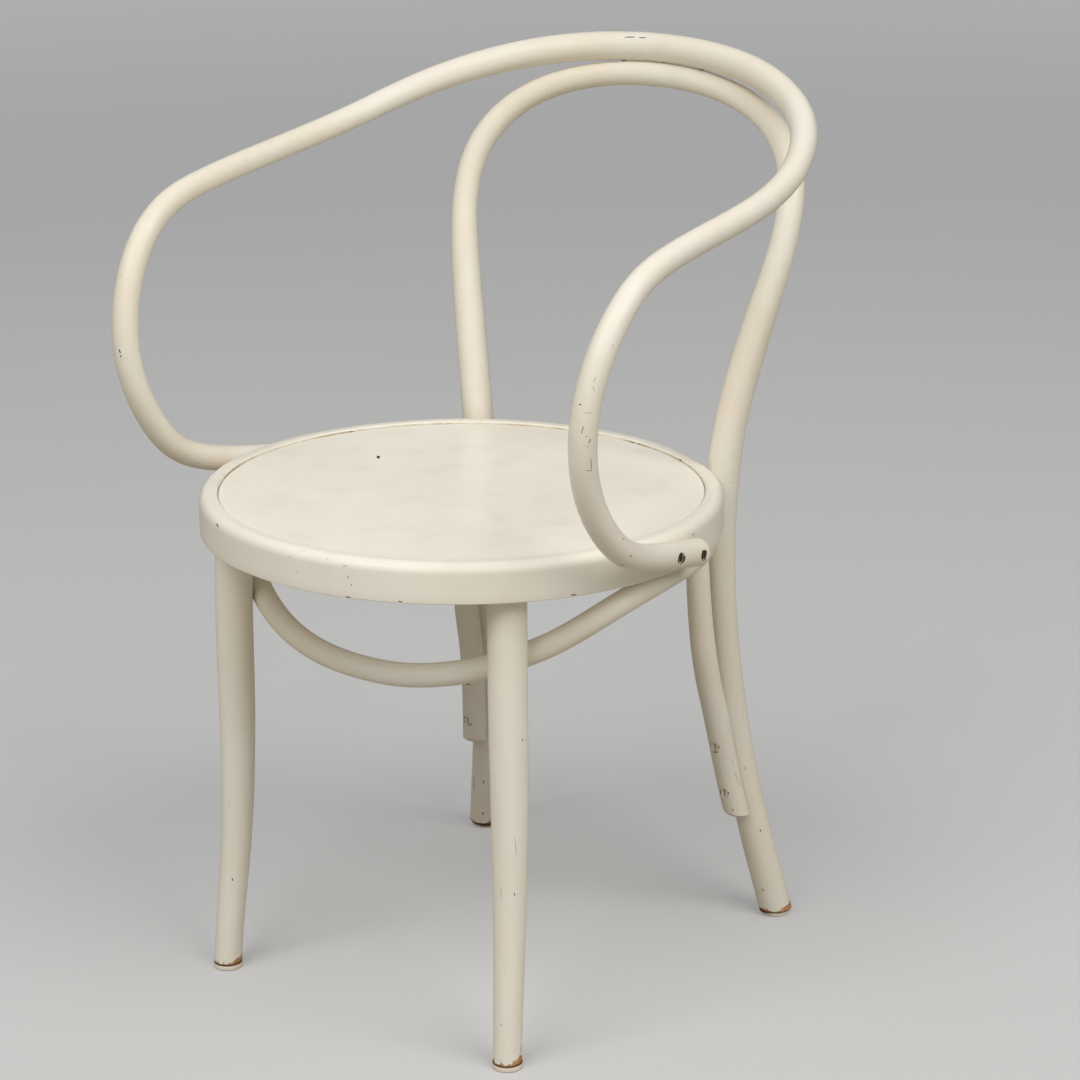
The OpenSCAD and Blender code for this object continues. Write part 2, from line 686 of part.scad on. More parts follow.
// A front leg on the +X side, with its tenon
module front_leg(side) {
    color(IVORY)
        mirror([side < 0 ? 1 : 0, 0, 0])
            difference() {
                union() {
                    rod(front_path, rod_sides, start = -seat_way([0, 0, 1]), finish = [0, 0, -1]);
                    aim(front_top, seat_way([0, 0, 1]))
                        translate([0, 0, -tenon_l])
                            cylinder(h = 2 * tenon_l, d = tenon_d);
                }
                translate(foot_at(1, true))
                    nail_hole();
                leg_screw_sites()
                    screw_hole(leg_screw_l);
            }
}

module glide(side, front) {
    r = glide_d / 2;
    head = nail_head_d / 2 + hole_gap;
    shank = nail_d / 2 + hole_gap;
    deep = nail_sunk + nail_head_t;
    color(GLIDE)
        translate(foot_at(side, front))
            rotate_extrude()
                polygon([[head, 0], [r - edge_soft, 0], [r, edge_soft], [r, glide_t - edge_soft],
                    [r - edge_soft, glide_t], [shank, glide_t], [shank, deep], [head, deep]]);
}

module glide_nails() {
    color(STEEL)
        for (side = [-1, 1], front = [false, true])
            translate(foot_at(side, front) + [0, 0, nail_sunk]) {
                cylinder(h = nail_head_t, d = nail_head_d);
                cylinder(h = nail_l - nail_d, d = nail_d);
                translate([0, 0, nail_l - nail_d])
                    cylinder(h = nail_d, d1 = nail_d, d2 = nail_d / 4);
            }
}

module rear_leg_bolts() {
    color(STEEL)
        bolt_sites() {
            translate([0, 0, -washer_t - bolt_head_t])
                cylinder(h = bolt_head_t, d = bolt_head_w / cos(30), $fn = 6);
            translate([0, 0, -washer_t - 1])
                cylinder(h = bolt_l + 1 - bolt_d, d = bolt_d);
            translate([0, 0, bolt_l - washer_t - bolt_d])
                cylinder(h = bolt_d, d1 = bolt_d, d2 = bolt_d / 4);
        }
}

module rear_leg_washers() {
    color(STEEL)
        bolt_sites()
            difference() {
                translate([0, 0, -washer_t])
                    cylinder(h = washer_t, d = washer_d);
                translate([0, 0, -washer_t - 1])
                    cylinder(h = washer_t + 2, d = bolt_d + 2 * hole_gap);
            }
}

module arm_screws(side) {
    color(RUST)
        arm_screw_sites(side)
            wood_screw(arm_screw_l);
}

module brace_screws(side) {
    color(IVORY)
        brace_screw_sites(side)
            wood_screw(drop_screw_l);
}

module brace_ring_screws() {
    color(STEEL)
        ring_screw_sites()
            wood_screw(ring_screw_l);
}

module front_leg_screws() {
    color(STEEL)
        leg_screw_sites()
            wood_screw(leg_screw_l);
}

module rail_screws() {
    color(STEEL)
        rail_screw_sites()
            wood_screw(rail_screw_l);
}

seat_ring();
seat_panel();
back_hoop();
arm_rail();
brace_hoop();
front_leg(1);  // front_leg_left
front_leg(-1);  // front_leg_right
glide(1, true);  // glide_front_left
glide(-1, true);  // glide_front_right
glide(1, false);  // glide_rear_left
glide(-1, false);  // glide_rear_right
glide_nails();
arm_screws(1);  // arm_screws_left
arm_screws(-1);  // arm_screws_right
brace_screws(1);  // brace_screws_left
brace_screws(-1);  // brace_screws_right
brace_ring_screws();
front_leg_screws();
rear_leg_bolts();
rear_leg_washers();
rail_screws();
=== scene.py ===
import math

import bmesh
import bpy
import numpy as np
from mathutils import Matrix, Vector, noise
from mathutils.bvhtree import BVHTree
from mathutils.kdtree import KDTree


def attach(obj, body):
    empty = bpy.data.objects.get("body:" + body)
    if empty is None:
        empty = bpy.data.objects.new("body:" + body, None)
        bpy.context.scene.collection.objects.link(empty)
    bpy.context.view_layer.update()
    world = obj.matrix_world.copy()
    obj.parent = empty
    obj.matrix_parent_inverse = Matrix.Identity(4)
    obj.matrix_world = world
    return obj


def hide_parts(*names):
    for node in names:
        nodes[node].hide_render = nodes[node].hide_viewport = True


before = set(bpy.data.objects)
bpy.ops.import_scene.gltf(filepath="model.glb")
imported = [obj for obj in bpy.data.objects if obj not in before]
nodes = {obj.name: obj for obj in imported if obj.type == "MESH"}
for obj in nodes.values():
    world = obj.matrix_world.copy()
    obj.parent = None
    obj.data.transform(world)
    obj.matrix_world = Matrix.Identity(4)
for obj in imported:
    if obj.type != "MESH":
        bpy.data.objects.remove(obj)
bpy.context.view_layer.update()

# Sizes in metres, the same as in the CAD source
seat_h = 0.462
seat_d = 0.470
seat_slope = math.radians(1.5)
ring_t = 0.035
ring_w = 0.045
ring_round = 0.009
rim_round = 0.002
rim_w = 0.017
panel_t = 0.009
panel_drop = 0.0025
chair_h = 0.823
back_reach = 0.309
loop_w = 0.370
hoop_d = 0.0226
rear_leg_d = 0.030
rear_waist_d = 0.0272
rear_foot_d = 0.031
rear_leg_angle = math.radians(54.5)
rear_leg_flat = 0.0015
rear_foot_out = 0.0362
rear_foot_back = 0.0392
rail_d = 0.0268
arm_d = 0.0222
arm_end_d = 0.024
rail_lean = math.radians(11)
arms_w = 0.529
arm_reach = 0.156
arm_end_angle = math.radians(5.4)
arm_end_drop = 0.021
arm_level_h = 0.0336
arm_flat = 0.0012
front_leg_angle = math.radians(40)
front_leg_inset = 0.030
front_leg_d = 0.034
front_foot_d = 0.0255
front_foot_out = 0.0104
front_foot_ahead = 0.0254
brace_d = 0.0212
drop_d = 0.0234
brace_inset = 0.016
bow_inset = 0.091
bow_drop = 0.095
bow_side = math.radians(117)
brace_flat = 0.0008
drop_flat = 0.0038
drop_l = 0.320
drop_trim = 0.003
drop_bow = 0.0106
drop_round = 0.010
drop_round_back = 0.0016
drop_round_out = 0.0021
glide_d = 0.0274
glide_t = 0.005
screw_head_d = 0.0086
screw_d = 0.0045
arm_screw_gap = 0.032
arm_screw_end = 0.010
drop_screw_top = 0.243
drop_screw_gap = 0.048
rail_screw_gap = 0.045
wood_gap = 0.00025
screw_sunk = 0.0012
edge_soft = 0.0012
arm_end_soft = 0.003
ring_soft = 0.0009
panel_round = 0.0016
near_ring = 0.008
crack_r = screw_head_d / 2 + 0.0006
RING_SCREW_ANGLES = (12, 34)

# Fineness of the modelled skins
ROD_SIDES = 48
BRACE_SIDES = 44
RING_TURNS = 288
PANEL_TURNS = 192
GLIDE_TURNS = 64
HOLE_TURNS = 40
ROD_STEP = 0.003
END_STEP = 0.0008
END_RUN = 0.012
EDGE_ANGLES = np.radians(np.arange(0, 91, 10))
EDGE_CLEAR = 1.3
CAP_SHARES = (0.1, 0.22, 0.34, 0.46, 0.58, 0.7, 0.8, 0.9, 0.96)
NOT_ALONG = (0.3, 0.2, 1)
SHARP_TURNED = math.radians(50)
SHARP_CUT = math.radians(38)
TINY = 1e-9

# How far the skins wave, and the noise that makes the waves
WAVE = 0.00011
PANEL_WAVE = 0.00009
WAVE_SCALE = 26
RIPPLE_SCALE = 75
RIPPLE_SHARE = 0.45
TURNED_SCALE = 24
TURNED_R = 0.25

# Lengths that follow from the sizes
seat_r = seat_d / 2
rail_z = chair_h - rail_d / 2
rail_off = (hoop_d + rail_d) / 2 + wood_gap
hoop_z = rail_z - rail_off * math.cos(rail_lean)
rail_reach = back_reach + rail_off * math.sin(rail_lean)
axis_y = (seat_r * math.cos(seat_slope) + ring_t * math.sin(seat_slope) - rail_reach - rail_d / 2) / 2


# Places round the seat
def from_seat(p):
    p = np.asarray(p, float)
    c, s = math.cos(seat_slope), math.sin(seat_slope)
    return np.stack([
        p[..., 0],
        p[..., 1] * c + p[..., 2] * s + axis_y,
        p[..., 2] * c - p[..., 1] * s + seat_h], -1)


def to_seat(p):
    p = np.asarray(p, float)
    c, s = math.cos(seat_slope), math.sin(seat_slope)
    y = p[..., 1] - axis_y
    z = p[..., 2] - seat_h
    return np.stack([p[..., 0], y * c - z * s, z * c + y * s], -1)


def round_seat(r, a, z):
    return from_seat([r * math.cos(a), r * math.sin(a), z])


def seat_way(v):
    return from_seat(v) - from_seat([0, 0, 0])


# Smooth curves through stations
def unit(v):
    return v / np.linalg.norm(v, axis=-1, keepdims=True)


def both_sides(half):
    half = np.asarray(half, float)
    return np.concatenate([(half * [-1, 1, 1, 1])[:0:-1], half])


class Bend:
    """A natural cubic spline through stations of place and diameter, by distance along them."""

    def __init__(self, stations):
        p = np.asarray(stations, float)
        t = np.concatenate([[0], np.cumsum(np.linalg.norm(np.diff(p[:, :3], axis=0), axis=1))])
        n = len(p)
        a = np.zeros((n, n))
        b = np.zeros_like(p)
        a[0, 0] = a[-1, -1] = 1
        for i in range(1, n - 1):
            h, k = t[i] - t[i - 1], t[i + 1] - t[i]
            a[i, i - 1:i + 2] = h, 2 * (h + k), k
            b[i] = 6 * ((p[i + 1] - p[i]) / k - (p[i] - p[i - 1]) / h)
        self.p, self.t, self.m = p, t, np.linalg.solve(a, b)

    def at(self, s):
        s = np.asarray(s, float)
        i = np.clip(np.searchsorted(self.t, s, side="right") - 1, 0, len(self.t) - 2)
        h = (self.t[i + 1] - self.t[i])[:, None]
        u = (s - self.t[i])[:, None] / h
        v = 1 - u
        return (v * self.p[i] + u * self.p[i + 1]
                + h * h / 6 * ((v ** 3 - v) * self.m[i] + (u ** 3 - u) * self.m[i + 1]))

    def points(self, step=ROD_STEP):
        length = self.t[-1]
        even = np.linspace(0, length, int(length / step))
        near = np.arange(END_STEP, END_RUN, END_STEP)
        s = np.concatenate([[0], near, even[(even > END_RUN) & (even < length - END_RUN)],
                            length - near[::-1], [length]])
        return self.at(s)


def look_up(x, table):
    xs, ys = zip(*table)
    return float(np.interp(x, xs, ys))


def between(a, b, share):
    return a + (b - a) * share


def station(start, end, shares):
    return [between(a, b, share) for a, b, share in zip(start, end, shares)]


def band(first, second, sides):
    """The faces between two rings of points, from the number of each ring's first point."""
    return [(first + k, first + (k + 1) % sides, second + (k + 1) % sides, second + k)
            for k in range(sides)]


def bands(along, count, sides, around):
    """Faces and UVs between count rings of points, in a loop if along has one place more."""
    faces, uvs = [], []
    for i in range(len(along) - 1):
        faces += band(i * sides, (i + 1) % count * sides, sides)
        for k in range(sides):
            v0, v1 = k / sides * around, (k + 1) / sides * around
            uvs += [(along[i], v0), (along[i], v1), (along[i + 1], v1), (along[i + 1], v0)]
    return faces, uvs


def sweep(name, path, soft, seed, start=None, finish=None, fit=None, sides=ROD_SIDES):
    """A rod along path with rounded ends, and a UV layer in metres along and round it."""
    c, d = path[:, :3], path[:, 3]
    t = np.empty_like(c)
    t[1:-1] = unit(c[2:] - c[:-2])
    t[0] = unit(c[1] - c[0]) if start is None else start
    t[-1] = unit(c[-1] - c[-2]) if finish is None else finish
    n = np.empty_like(c)
    n[0] = unit(np.cross(t[0], NOT_ALONG))
    for i in range(1, len(c)):
        n[i] = unit(n[i - 1] - (n[i - 1] @ t[i]) * t[i])
    b = np.cross(t, n)
    along = np.concatenate([[0], np.cumsum(np.linalg.norm(np.diff(c, axis=0), axis=1))])
    length = along[-1]
    turn = np.linspace(0, 2 * math.pi, sides, endpoint=False)
    rings, uv_u = [], []

    def add_ring(centre, dia, k, u):
        rings.append(centre + dia / 2 * (np.cos(turn)[:, None] * n[k] + np.sin(turn)[:, None] * b[k]))
        uv_u.append(u)

    def end_rings(dia):
        """Distance from the rod's end and diameter of each ring, from the end's middle outwards."""
        return [(0.0, share * (dia - 2 * soft)) for share in CAP_SHARES] + [
            (soft * (1 - math.cos(a)), dia - 2 * soft * (1 - math.sin(a))) for a in EDGE_ANGLES]

    for lift, dia in end_rings(d[0]):
        add_ring(c[0] + t[0] * lift, dia, 0, lift)
    for k in range(1, len(c) - 1):
        if soft * EDGE_CLEAR < along[k] < length - soft * EDGE_CLEAR:
            add_ring(c[k], d[k], k, along[k])
    for lift, dia in end_rings(d[-1])[::-1]:
        add_ring(c[-1] - t[-1] * lift, dia, -1, length - lift)
    skin = np.array(rings)
    out = skin - skin.mean(1, keepdims=True)
    size = np.linalg.norm(out, axis=2, keepdims=True)
    rough = np.array([
        noise.noise(Vector(p * WAVE_SCALE) + Vector((seed, 0, 0)))
        + RIPPLE_SHARE * noise.noise(Vector(p * RIPPLE_SCALE) + Vector((0, seed, 0)))
        for p in skin.reshape(-1, 3)])
    points = (skin + out / size * (WAVE * rough.reshape(size.shape))).reshape(-1, 3)
    if fit is not None:
        points = fit(points)
    around = math.pi * float(d.mean())
    faces, uvs = bands(uv_u, len(rings), sides, around)
    top = len(points)
    base = top - sides
    for k in range(sides):
        m = (k + 1) % sides
        faces += [(top, m, k), (top + 1, base + k, base + m)]
        uvs += [(0, 0), (0, m / sides * around), (0, k / sides * around)]
        uvs += [(length, 0), (length, k / sides * around), (length, m / sides * around)]
    verts = np.concatenate([points, [points[:sides].mean(0), points[-sides:].mean(0)]])
    return mesh_object(name, verts, faces, uvs)


def mesh_object(name, verts, faces, uvs=None):
    mesh = bpy.data.meshes.new(name)
    mesh.from_pydata([tuple(v) for v in verts], [], faces)
    if uvs is not None:
        layer = mesh.uv_layers.new(name="rod")
        layer.data.foreach_set("uv", np.array(uvs, np.float32).ravel())
    mesh.validate()
    bm = bmesh.new()
    bm.from_mesh(mesh)
    bmesh.ops.recalc_face_normals(bm, faces=bm.faces)
    bm.to_mesh(mesh)
    bm.free()
    mesh.polygons.foreach_set("use_smooth", [True] * len(mesh.polygons))
    obj = bpy.data.objects.new(name, mesh)
    bpy.context.scene.collection.objects.link(obj)
    return obj


def revolve(name, profile, turns, place, wave=0.0, seed=0.0, closed=False):
    """A profile of (radius, height) turned about the z axis; place maps the points to where they go."""
    profile = np.asarray(profile, float)
    angle = np.linspace(0, 2 * math.pi, turns, endpoint=False)
    points = np.array([np.stack([r * np.cos(angle), r * np.sin(angle), np.full(turns, z)], -1)
                       for r, z in profile])
    if wave:
        rough = np.array([noise.noise(Vector(p * TURNED_SCALE) + Vector((0, 0, seed)))
                          for p in points.reshape(-1, 3)]).reshape(points.shape[:2])
        points[..., 2] += wave * rough
        points[..., :2] *= 1 + wave * rough[..., None] / TURNED_R
    run = np.concatenate([[0], np.cumsum(np.linalg.norm(np.diff(profile, axis=0), axis=1))])
    if closed:
        run = np.append(run, run[-1])
    faces, uvs = bands(run, len(profile), turns, 2 * math.pi * float(profile[:, 0].max()))
    obj = mesh_object(name, place(points.reshape(-1, 3)), faces, [(v, u) for u, v in uvs])
    obj.data.set_sharp_from_angle(angle=SHARP_TURNED)
    return obj


def cut(obj, cutters):
    """Takes the cutters, one mesh of closed solids, away from obj."""
    mod = obj.modifiers.new("cut", "BOOLEAN")
    mod.operation = "DIFFERENCE"
    mod.solver = "EXACT"
    mod.object = cutters
    graph = bpy.context.evaluated_depsgraph_get()
    new = bpy.data.meshes.new_from_object(obj.evaluated_get(graph))
    obj.modifiers.remove(mod)
    old = obj.data
    obj.data = new
    new.name = old.name
    bpy.data.meshes.remove(old)
    bpy.data.objects.remove(cutters)
    new.set_sharp_from_angle(angle=SHARP_CUT)


# Back hoop, from the loop down to the feet
rear_seat = round_seat(seat_r + rear_leg_d / 2 - rear_leg_flat, rear_leg_angle, -ring_t / 2)
hoop_top = [0, back_reach + axis_y, hoop_z]
rear_foot = [rear_seat[0] + rear_foot_out, rear_seat[1] + rear_foot_back, glide_t]
LOOP = [[0, 1, 1, 1], [0.528, 0.906, 0.966, 0.95], [0.782, 0.763, 0.907, 0.85],
        [0.906, 0.633, 0.846, 0.8], [0.984, 0.485, 0.761, 0.78], [1, 0.386, 0.687, 0.78],
        [0.942, 0.2, 0.481, 0.35], [0.804, 0.016, 0.119, 0.05]]
REAR_LEG = [[0, 0, 0, 0], [-0.08, 0.016, 0.162, 0.8], [0.02, 0.2, 0.435, 1],
            [0.37, 0.513, 0.711, 0.35], [1, 1, 1, 0]]
hoop_half = [station([0, rear_seat[1], rear_seat[2], rear_leg_d],
                     [loop_w / 2, hoop_top[1], hoop_top[2], hoop_d], s) for s in LOOP]
for s in REAR_LEG:
    leg_d = between(rear_leg_d, rear_foot_d, s[2])
    hoop_half.append(station([*rear_seat, leg_d], [*rear_foot, rear_waist_d], s))
hoop_path = Bend(both_sides(hoop_half)).points()
rear_line = np.array(sorted([list(p) for p in hoop_path if p[0] > 0 and p[2] < seat_h + ring_t],
                            key=lambda p: p[2]))


def rear_at(z):
    return [np.interp(z, rear_line[:, 2], rear_line[:, k]) for k in (0, 1, 3)]


# Arm rail, from the back round the arms to their ends at the seat
arm_end = round_seat(seat_r + arm_end_d / 2 - arm_flat, arm_end_angle, -arm_end_drop)
arm_front_y = axis_y - arm_reach
arm_x = arms_w / 2
rail_back_y = axis_y + rail_reach
ARM_TOP = [[0, 1, 1, 1], [0.497, 0.941, 0.969, 0.97], [0.812, 0.806, 0.895, 0.5],
           [0.942, 0.651, 0.826, 0.1], [0.996, 0.247, 0.745, 0], [1, 0.135, 0.703, 0.05],
           [0.999, 0.084, 0.654, 0.2], [0.981, 0.011, 0.496, 0.35]]
ARM_CURL = [[0.42, 0.002, 0.363, 0.9], [0.569, 0.113, 0.206, 1]]
ARM_LEVEL = [[0.6, 0.334, 1, 1], [0.793, 0.536, 0.55, 1], [0.918, 0.758, 0.264, 1], [1, 1, 0, 1]]
rail_half = [station([0, arm_front_y, arm_end[2], arm_d],
                     [arm_x, rail_back_y, rail_z, rail_d], s) for s in ARM_TOP]
for curl, rise in ((ARM_CURL, rail_z - arm_end[2]), (ARM_LEVEL, arm_level_h)):
    rail_half += [[
        between(arm_x, arm_end[0], s[0]),
        between(arm_front_y, arm_end[1], s[1]),
        arm_end[2] + rise * s[2],
        between(arm_d, arm_end_d, s[3])] for s in curl]
rail_path = Bend(both_sides(rail_half)).points()

# Front legs
front_top = round_seat(seat_r - front_leg_inset, -front_leg_angle, -ring_t)
front_foot = [front_top[0] + front_foot_out, front_top[1] - front_foot_ahead, glide_t]
FRONT_LEG = [[0, 0, 0.05], [0.165, 0.13, 0], [0.353, 0.19, 0.06], [0.541, 0.28, 0.33],
             [0.729, 0.5, 0.69], [0.918, 0.87, 0.96], [1, 1, 1]]
front_path = Bend([
    station([*front_top, front_leg_d], [*front_foot, front_foot_d], (out, out, down, thin))
    for down, out, thin in FRONT_LEG]).points()


def front_at(z):
    return [np.interp(z, front_path[::-1, 2], front_path[::-1, k]) for k in (0, 1, 3)]


# Brace hoop
brace_r = seat_r - brace_inset
brace_z = -ring_t - brace_d / 2 + brace_flat
UNDER = range(6, 43, 12)
under_start = round_seat(brace_r, math.radians(UNDER[0]), brace_z)
bow_mid = [0, axis_y - seat_r + bow_inset, seat_h - ring_t - bow_drop]
BOW_AHEAD = [[0, 0, 0], [0.212, 0.014, 0.027], [0.4, 0.057, 0.115], [0.587, 0.147, 0.257]]
BOW_BEHIND = [[0.789, 0.298, 0.509], [0.98, 0.515, 0.885]]
BOW_AT_LEG = 0.35
DROP = [0.040, 0.080, 0.120, 0.155, 0.180, 0.205]
DROP_END = [0.070, 0.035, 0]
STAND_OFF = [[0.040, 0.91], [0.080, 1.02], [0.120, 1.1], [0.155, 1.1], [0.180, 0.86],
             [0.205, 0.5], [0.243, 0.16], [0.280, -0.02], [0.317, -0.18]]
SIDE_OFF = [[0.040, -0.0035], [0.085, -0.003], [0.125, -0.0015], [0.155, 0]]


def bow_station(s):
    return station(bow_mid, under_start, s) + [brace_d]


def drop_station(down):
    z = seat_h - ring_t - down
    d = look_up(down, [[DROP[0], brace_d], [DROP[3], drop_d]])
    x, y, leg = rear_at(z)
    return [
        float(x) + look_up(down, SIDE_OFF),
        float(y) - float(leg) / 2 - wood_gap - d / 2 + drop_flat - drop_bow * look_up(down, STAND_OFF),
        z,
        d]


bow_leg_z = between(bow_mid[2], under_start[2], BOW_AT_LEG)
leg_x, leg_y, leg_d = front_at(bow_leg_z)
bow_off = leg_d / 2 + brace_d / 2 + wood_gap
bow_at_leg = [leg_x + bow_off * math.cos(bow_side), leg_y + bow_off * math.sin(bow_side),
              bow_leg_z, brace_d]
brace_half = [bow_station(s) for s in BOW_AHEAD] + [bow_at_leg]
brace_half += [bow_station(s) for s in BOW_BEHIND]
brace_half += [list(round_seat(brace_r, math.radians(a), brace_z)) + [brace_d] for a in UNDER]
brace_half += [drop_station(down) for down in DROP]
brace_half += [drop_station(drop_l - up) for up in DROP_END]
brace_path = Bend(both_sides(brace_half)).points()


# Skins moved clear of their neighbours
def beside_ring(p):
    q = to_seat(p)
    f = (seat_r + wood_gap) / np.hypot(q[:, 0], q[:, 1])
    near = (f > 1) & (q[:, 2] > -ring_t - near_ring) & (q[:, 2] < near_ring)
    q[near, :2] *= f[near, None]
    return np.where(near[:, None], from_seat(q), p)


def below_ring(p):
    q = to_seat(p)
    near = ((np.hypot(q[:, 0], q[:, 1]) < seat_r + near_ring)
            & (q[:, 2] > -ring_t - wood_gap) & (q[:, 2] < 0))
    q[near, 2] = -ring_t - wood_gap
    return np.where(near[:, None], from_seat(q), p)


def behind_legs(p):
    x, y, d = front_at(p[:, 2])
    vx, vy = p[:, 0] - np.sign(p[:, 0]) * x, p[:, 1] - y
    f = (d / 2 + wood_gap) / np.maximum(np.hypot(vx, vy), TINY)
    near = (f > 1) & (p[:, 1] < axis_y)
    out = p.copy()
    out[near, 0] += (vx * (f - 1))[near]
    out[near, 1] += (vy * (f - 1))[near]
    return out


def before_legs(p):
    _, y, d = rear_at(p[:, 2])
    limit = y - d / 2 - wood_gap
    near = (p[:, 1] > limit) & (p[:, 2] < seat_h - ring_t)
    out = p.copy()
    out[near, 1] = limit[near]
    return out


def round_drop_ends(p):
    """Makes both ends of the brace level and rounds them towards the front and the sides."""
    end = drop_station(drop_l - drop_trim)
    flat_r = drop_d / 2 + drop_round_back + drop_round_out - drop_round
    x = p[:, 0] - np.sign(p[:, 0]) * end[0]
    y = p[:, 1] - end[1] - drop_round_back
    far = np.hypot(x, y)
    level = end[2] + drop_round - np.sqrt(np.maximum(drop_round ** 2 - np.maximum(far - flat_r, 0) ** 2, 0))
    near = (p[:, 1] > axis_y) & (p[:, 2] < np.minimum(level, end[2] + drop_round))
    out = p.copy()
    out[near, 2] = level[near]
    return out


def brace_fit(p):
    return round_drop_ends(before_legs(behind_legs(below_ring(p))))


# Screw sites: where the head's middle lies and which way the screw is driven
def mirrored(sites):
    return [(np.array(p) * [side, 1, 1], np.array(d) * [side, 1, 1]) for p, d in sites for side in (1, -1)]


arm_out = seat_r + arm_end_d - arm_flat - screw_sunk


def arm_screw_sites():
    found = []
    line = to_seat(np.array(rail_half)[-3:, :3])
    angles = np.arctan2(line[:, 1], line[:, 0])
    for k in (0, 1):
        a = arm_end_angle - (arm_screw_end + k * arm_screw_gap) / seat_r
        z = np.interp(a, angles, line[:, 2])
        found.append((round_seat(arm_out, a, z), seat_way([-math.cos(a), -math.sin(a), 0])))
    return mirrored(found)


def brace_screw_sites():
    places = [drop_station(down) for down in (drop_screw_top, drop_screw_top + drop_screw_gap)]
    return mirrored([([x, y - drop_d / 2 + screw_sunk, z], [0, 1, 0]) for x, y, z, _ in places])


def ring_screw_sites():
    z = brace_z - brace_d / 2 + screw_sunk
    return mirrored([(round_seat(brace_r, math.radians(a), z), seat_way([0, 0, 1]))
                     for a in RING_SCREW_ANGLES])


def leg_screw_sites():
    d = np.array([-math.cos(bow_side), -math.sin(bow_side), 0])
    return mirrored([(np.array(bow_at_leg[:3]) - (brace_d / 2 - screw_sunk) * d, d)])


def rail_screw_sites():
    found = []
    top_h = 0.06
    top = [q[(q[:, 0] >= -TINY) & (q[:, 2] > rail_z - top_h)] for q in (hoop_path, rail_path)]
    for x in (-rail_screw_gap, 0, rail_screw_gap):
        low, high = (np.array([x, np.interp(abs(x), q[:, 0], q[:, 1]),
                               np.interp(abs(x), q[:, 0], q[:, 2])]) for q in top)
        d = unit(high - low)
        found.append((low - (hoop_d / 2 - screw_sunk) * d, d))
    return found


def spin_to(way):
    """The turn that takes the z axis to way."""
    return Vector(way).to_track_quat("Z", "Y")


# A screw's hole: how much wider than the head it is at each depth, from outside to the head's top
HOLE_MOUTH = [(0.0022, -0.004), (0.0006, -0.0014), (0.00015, -0.0007), (0, 0)]
HOLE_DEPTH = 0.006
HOLE_PLAY = 0.0002
HOLE_AXIS = 0.00002


def screw_cutters(sites):
    """Countersunk holes with a softly flared mouth, as one mesh."""
    head, shank = screw_head_d / 2 + HOLE_PLAY, screw_d / 2
    profile = [(HOLE_AXIS, HOLE_MOUTH[0][1])] + [(head + wider, z) for wider, z in HOLE_MOUTH]
    profile += [(shank, head - shank), (shank, HOLE_DEPTH), (HOLE_AXIS, HOLE_DEPTH)]
    verts, faces = [], []
    for p, d in sites:
        spin = spin_to(d).to_matrix()
        base = len(verts)
        for r, z in profile:
            for k in range(HOLE_TURNS):
                a = 2 * math.pi * k / HOLE_TURNS
                verts.append(Vector(p) + spin @ Vector((r * math.cos(a), r * math.sin(a), z)))
        last = len(verts) - HOLE_TURNS
        for row in range(base, last, HOLE_TURNS):
            faces += band(row, row + HOLE_TURNS, HOLE_TURNS)
        faces += [range(row, row + HOLE_TURNS) for row in (base, last)]
    return mesh_object("cutters", verts, faces)


# The camera, at the photograph's place
PHOTO = 1080
focal_px = 3125.12
azimuth = math.radians(38.3)
elevation = math.radians(18.53)
roll = math.radians(-0.94)
eye = Vector((1.7119, -2.0559 + axis_y, 1.3050))
look = Vector((-math.sin(azimuth) * math.cos(elevation), math.cos(azimuth) * math.cos(elevation),
               -math.sin(elevation)))
flat_right = look.cross(Vector((0, 0, 1))).normalized()
flat_up = flat_right.cross(look)
right = flat_right * math.cos(roll) + flat_up * math.sin(roll)
up = -flat_right * math.sin(roll) + flat_up * math.cos(roll)
lens = bpy.data.cameras.new("photo_camera")
lens.sensor_width = 36
lens.lens = focal_px / PHOTO * lens.sensor_width
lens.clip_end = 100
camera = bpy.data.objects.new("photo_camera", lens)
camera.matrix_world = Matrix.Translation(eye) @ Matrix((right, up, -look)).transposed().to_4x4()
bpy.context.scene.collection.objects.link(camera)
bpy.context.scene.camera = camera

# The skins of the pieces
UP = np.array([0, 0, 1.0])
DOWN = np.array([0, 0, -1.0])
rail = sweep("arm_rail_skin", rail_path, arm_end_soft, seed=3.1, fit=beside_ring)
cut(rail, screw_cutters(arm_screw_sites()))
hoop = sweep("back_hoop_skin", hoop_path, edge_soft, seed=7.7, start=UP, finish=DOWN, fit=beside_ring)
cut(hoop, screw_cutters(rail_screw_sites()))
brace = sweep("brace_hoop_skin", brace_path, edge_soft, seed=5.3, fit=brace_fit, sides=BRACE_SIDES)
cut(brace, screw_cutters(brace_screw_sites() + ring_screw_sites() + leg_screw_sites()))

legs = []
for side, word in ((1, "left"), (-1, "right")):
    path = front_path * [side, 1, 1, 1]
    leg = sweep("front_leg_skin_" + word, path, edge_soft, seed=11 + side,
                start=-seat_way([0, 0, 1]), finish=DOWN)
    legs.append((leg, word, side))


def arc(cx, cz, r, start, end, count):
    angles = np.radians(np.linspace(start, end, count))
    return [(cx + r * math.cos(a), cz + r * math.sin(a)) for a in angles]


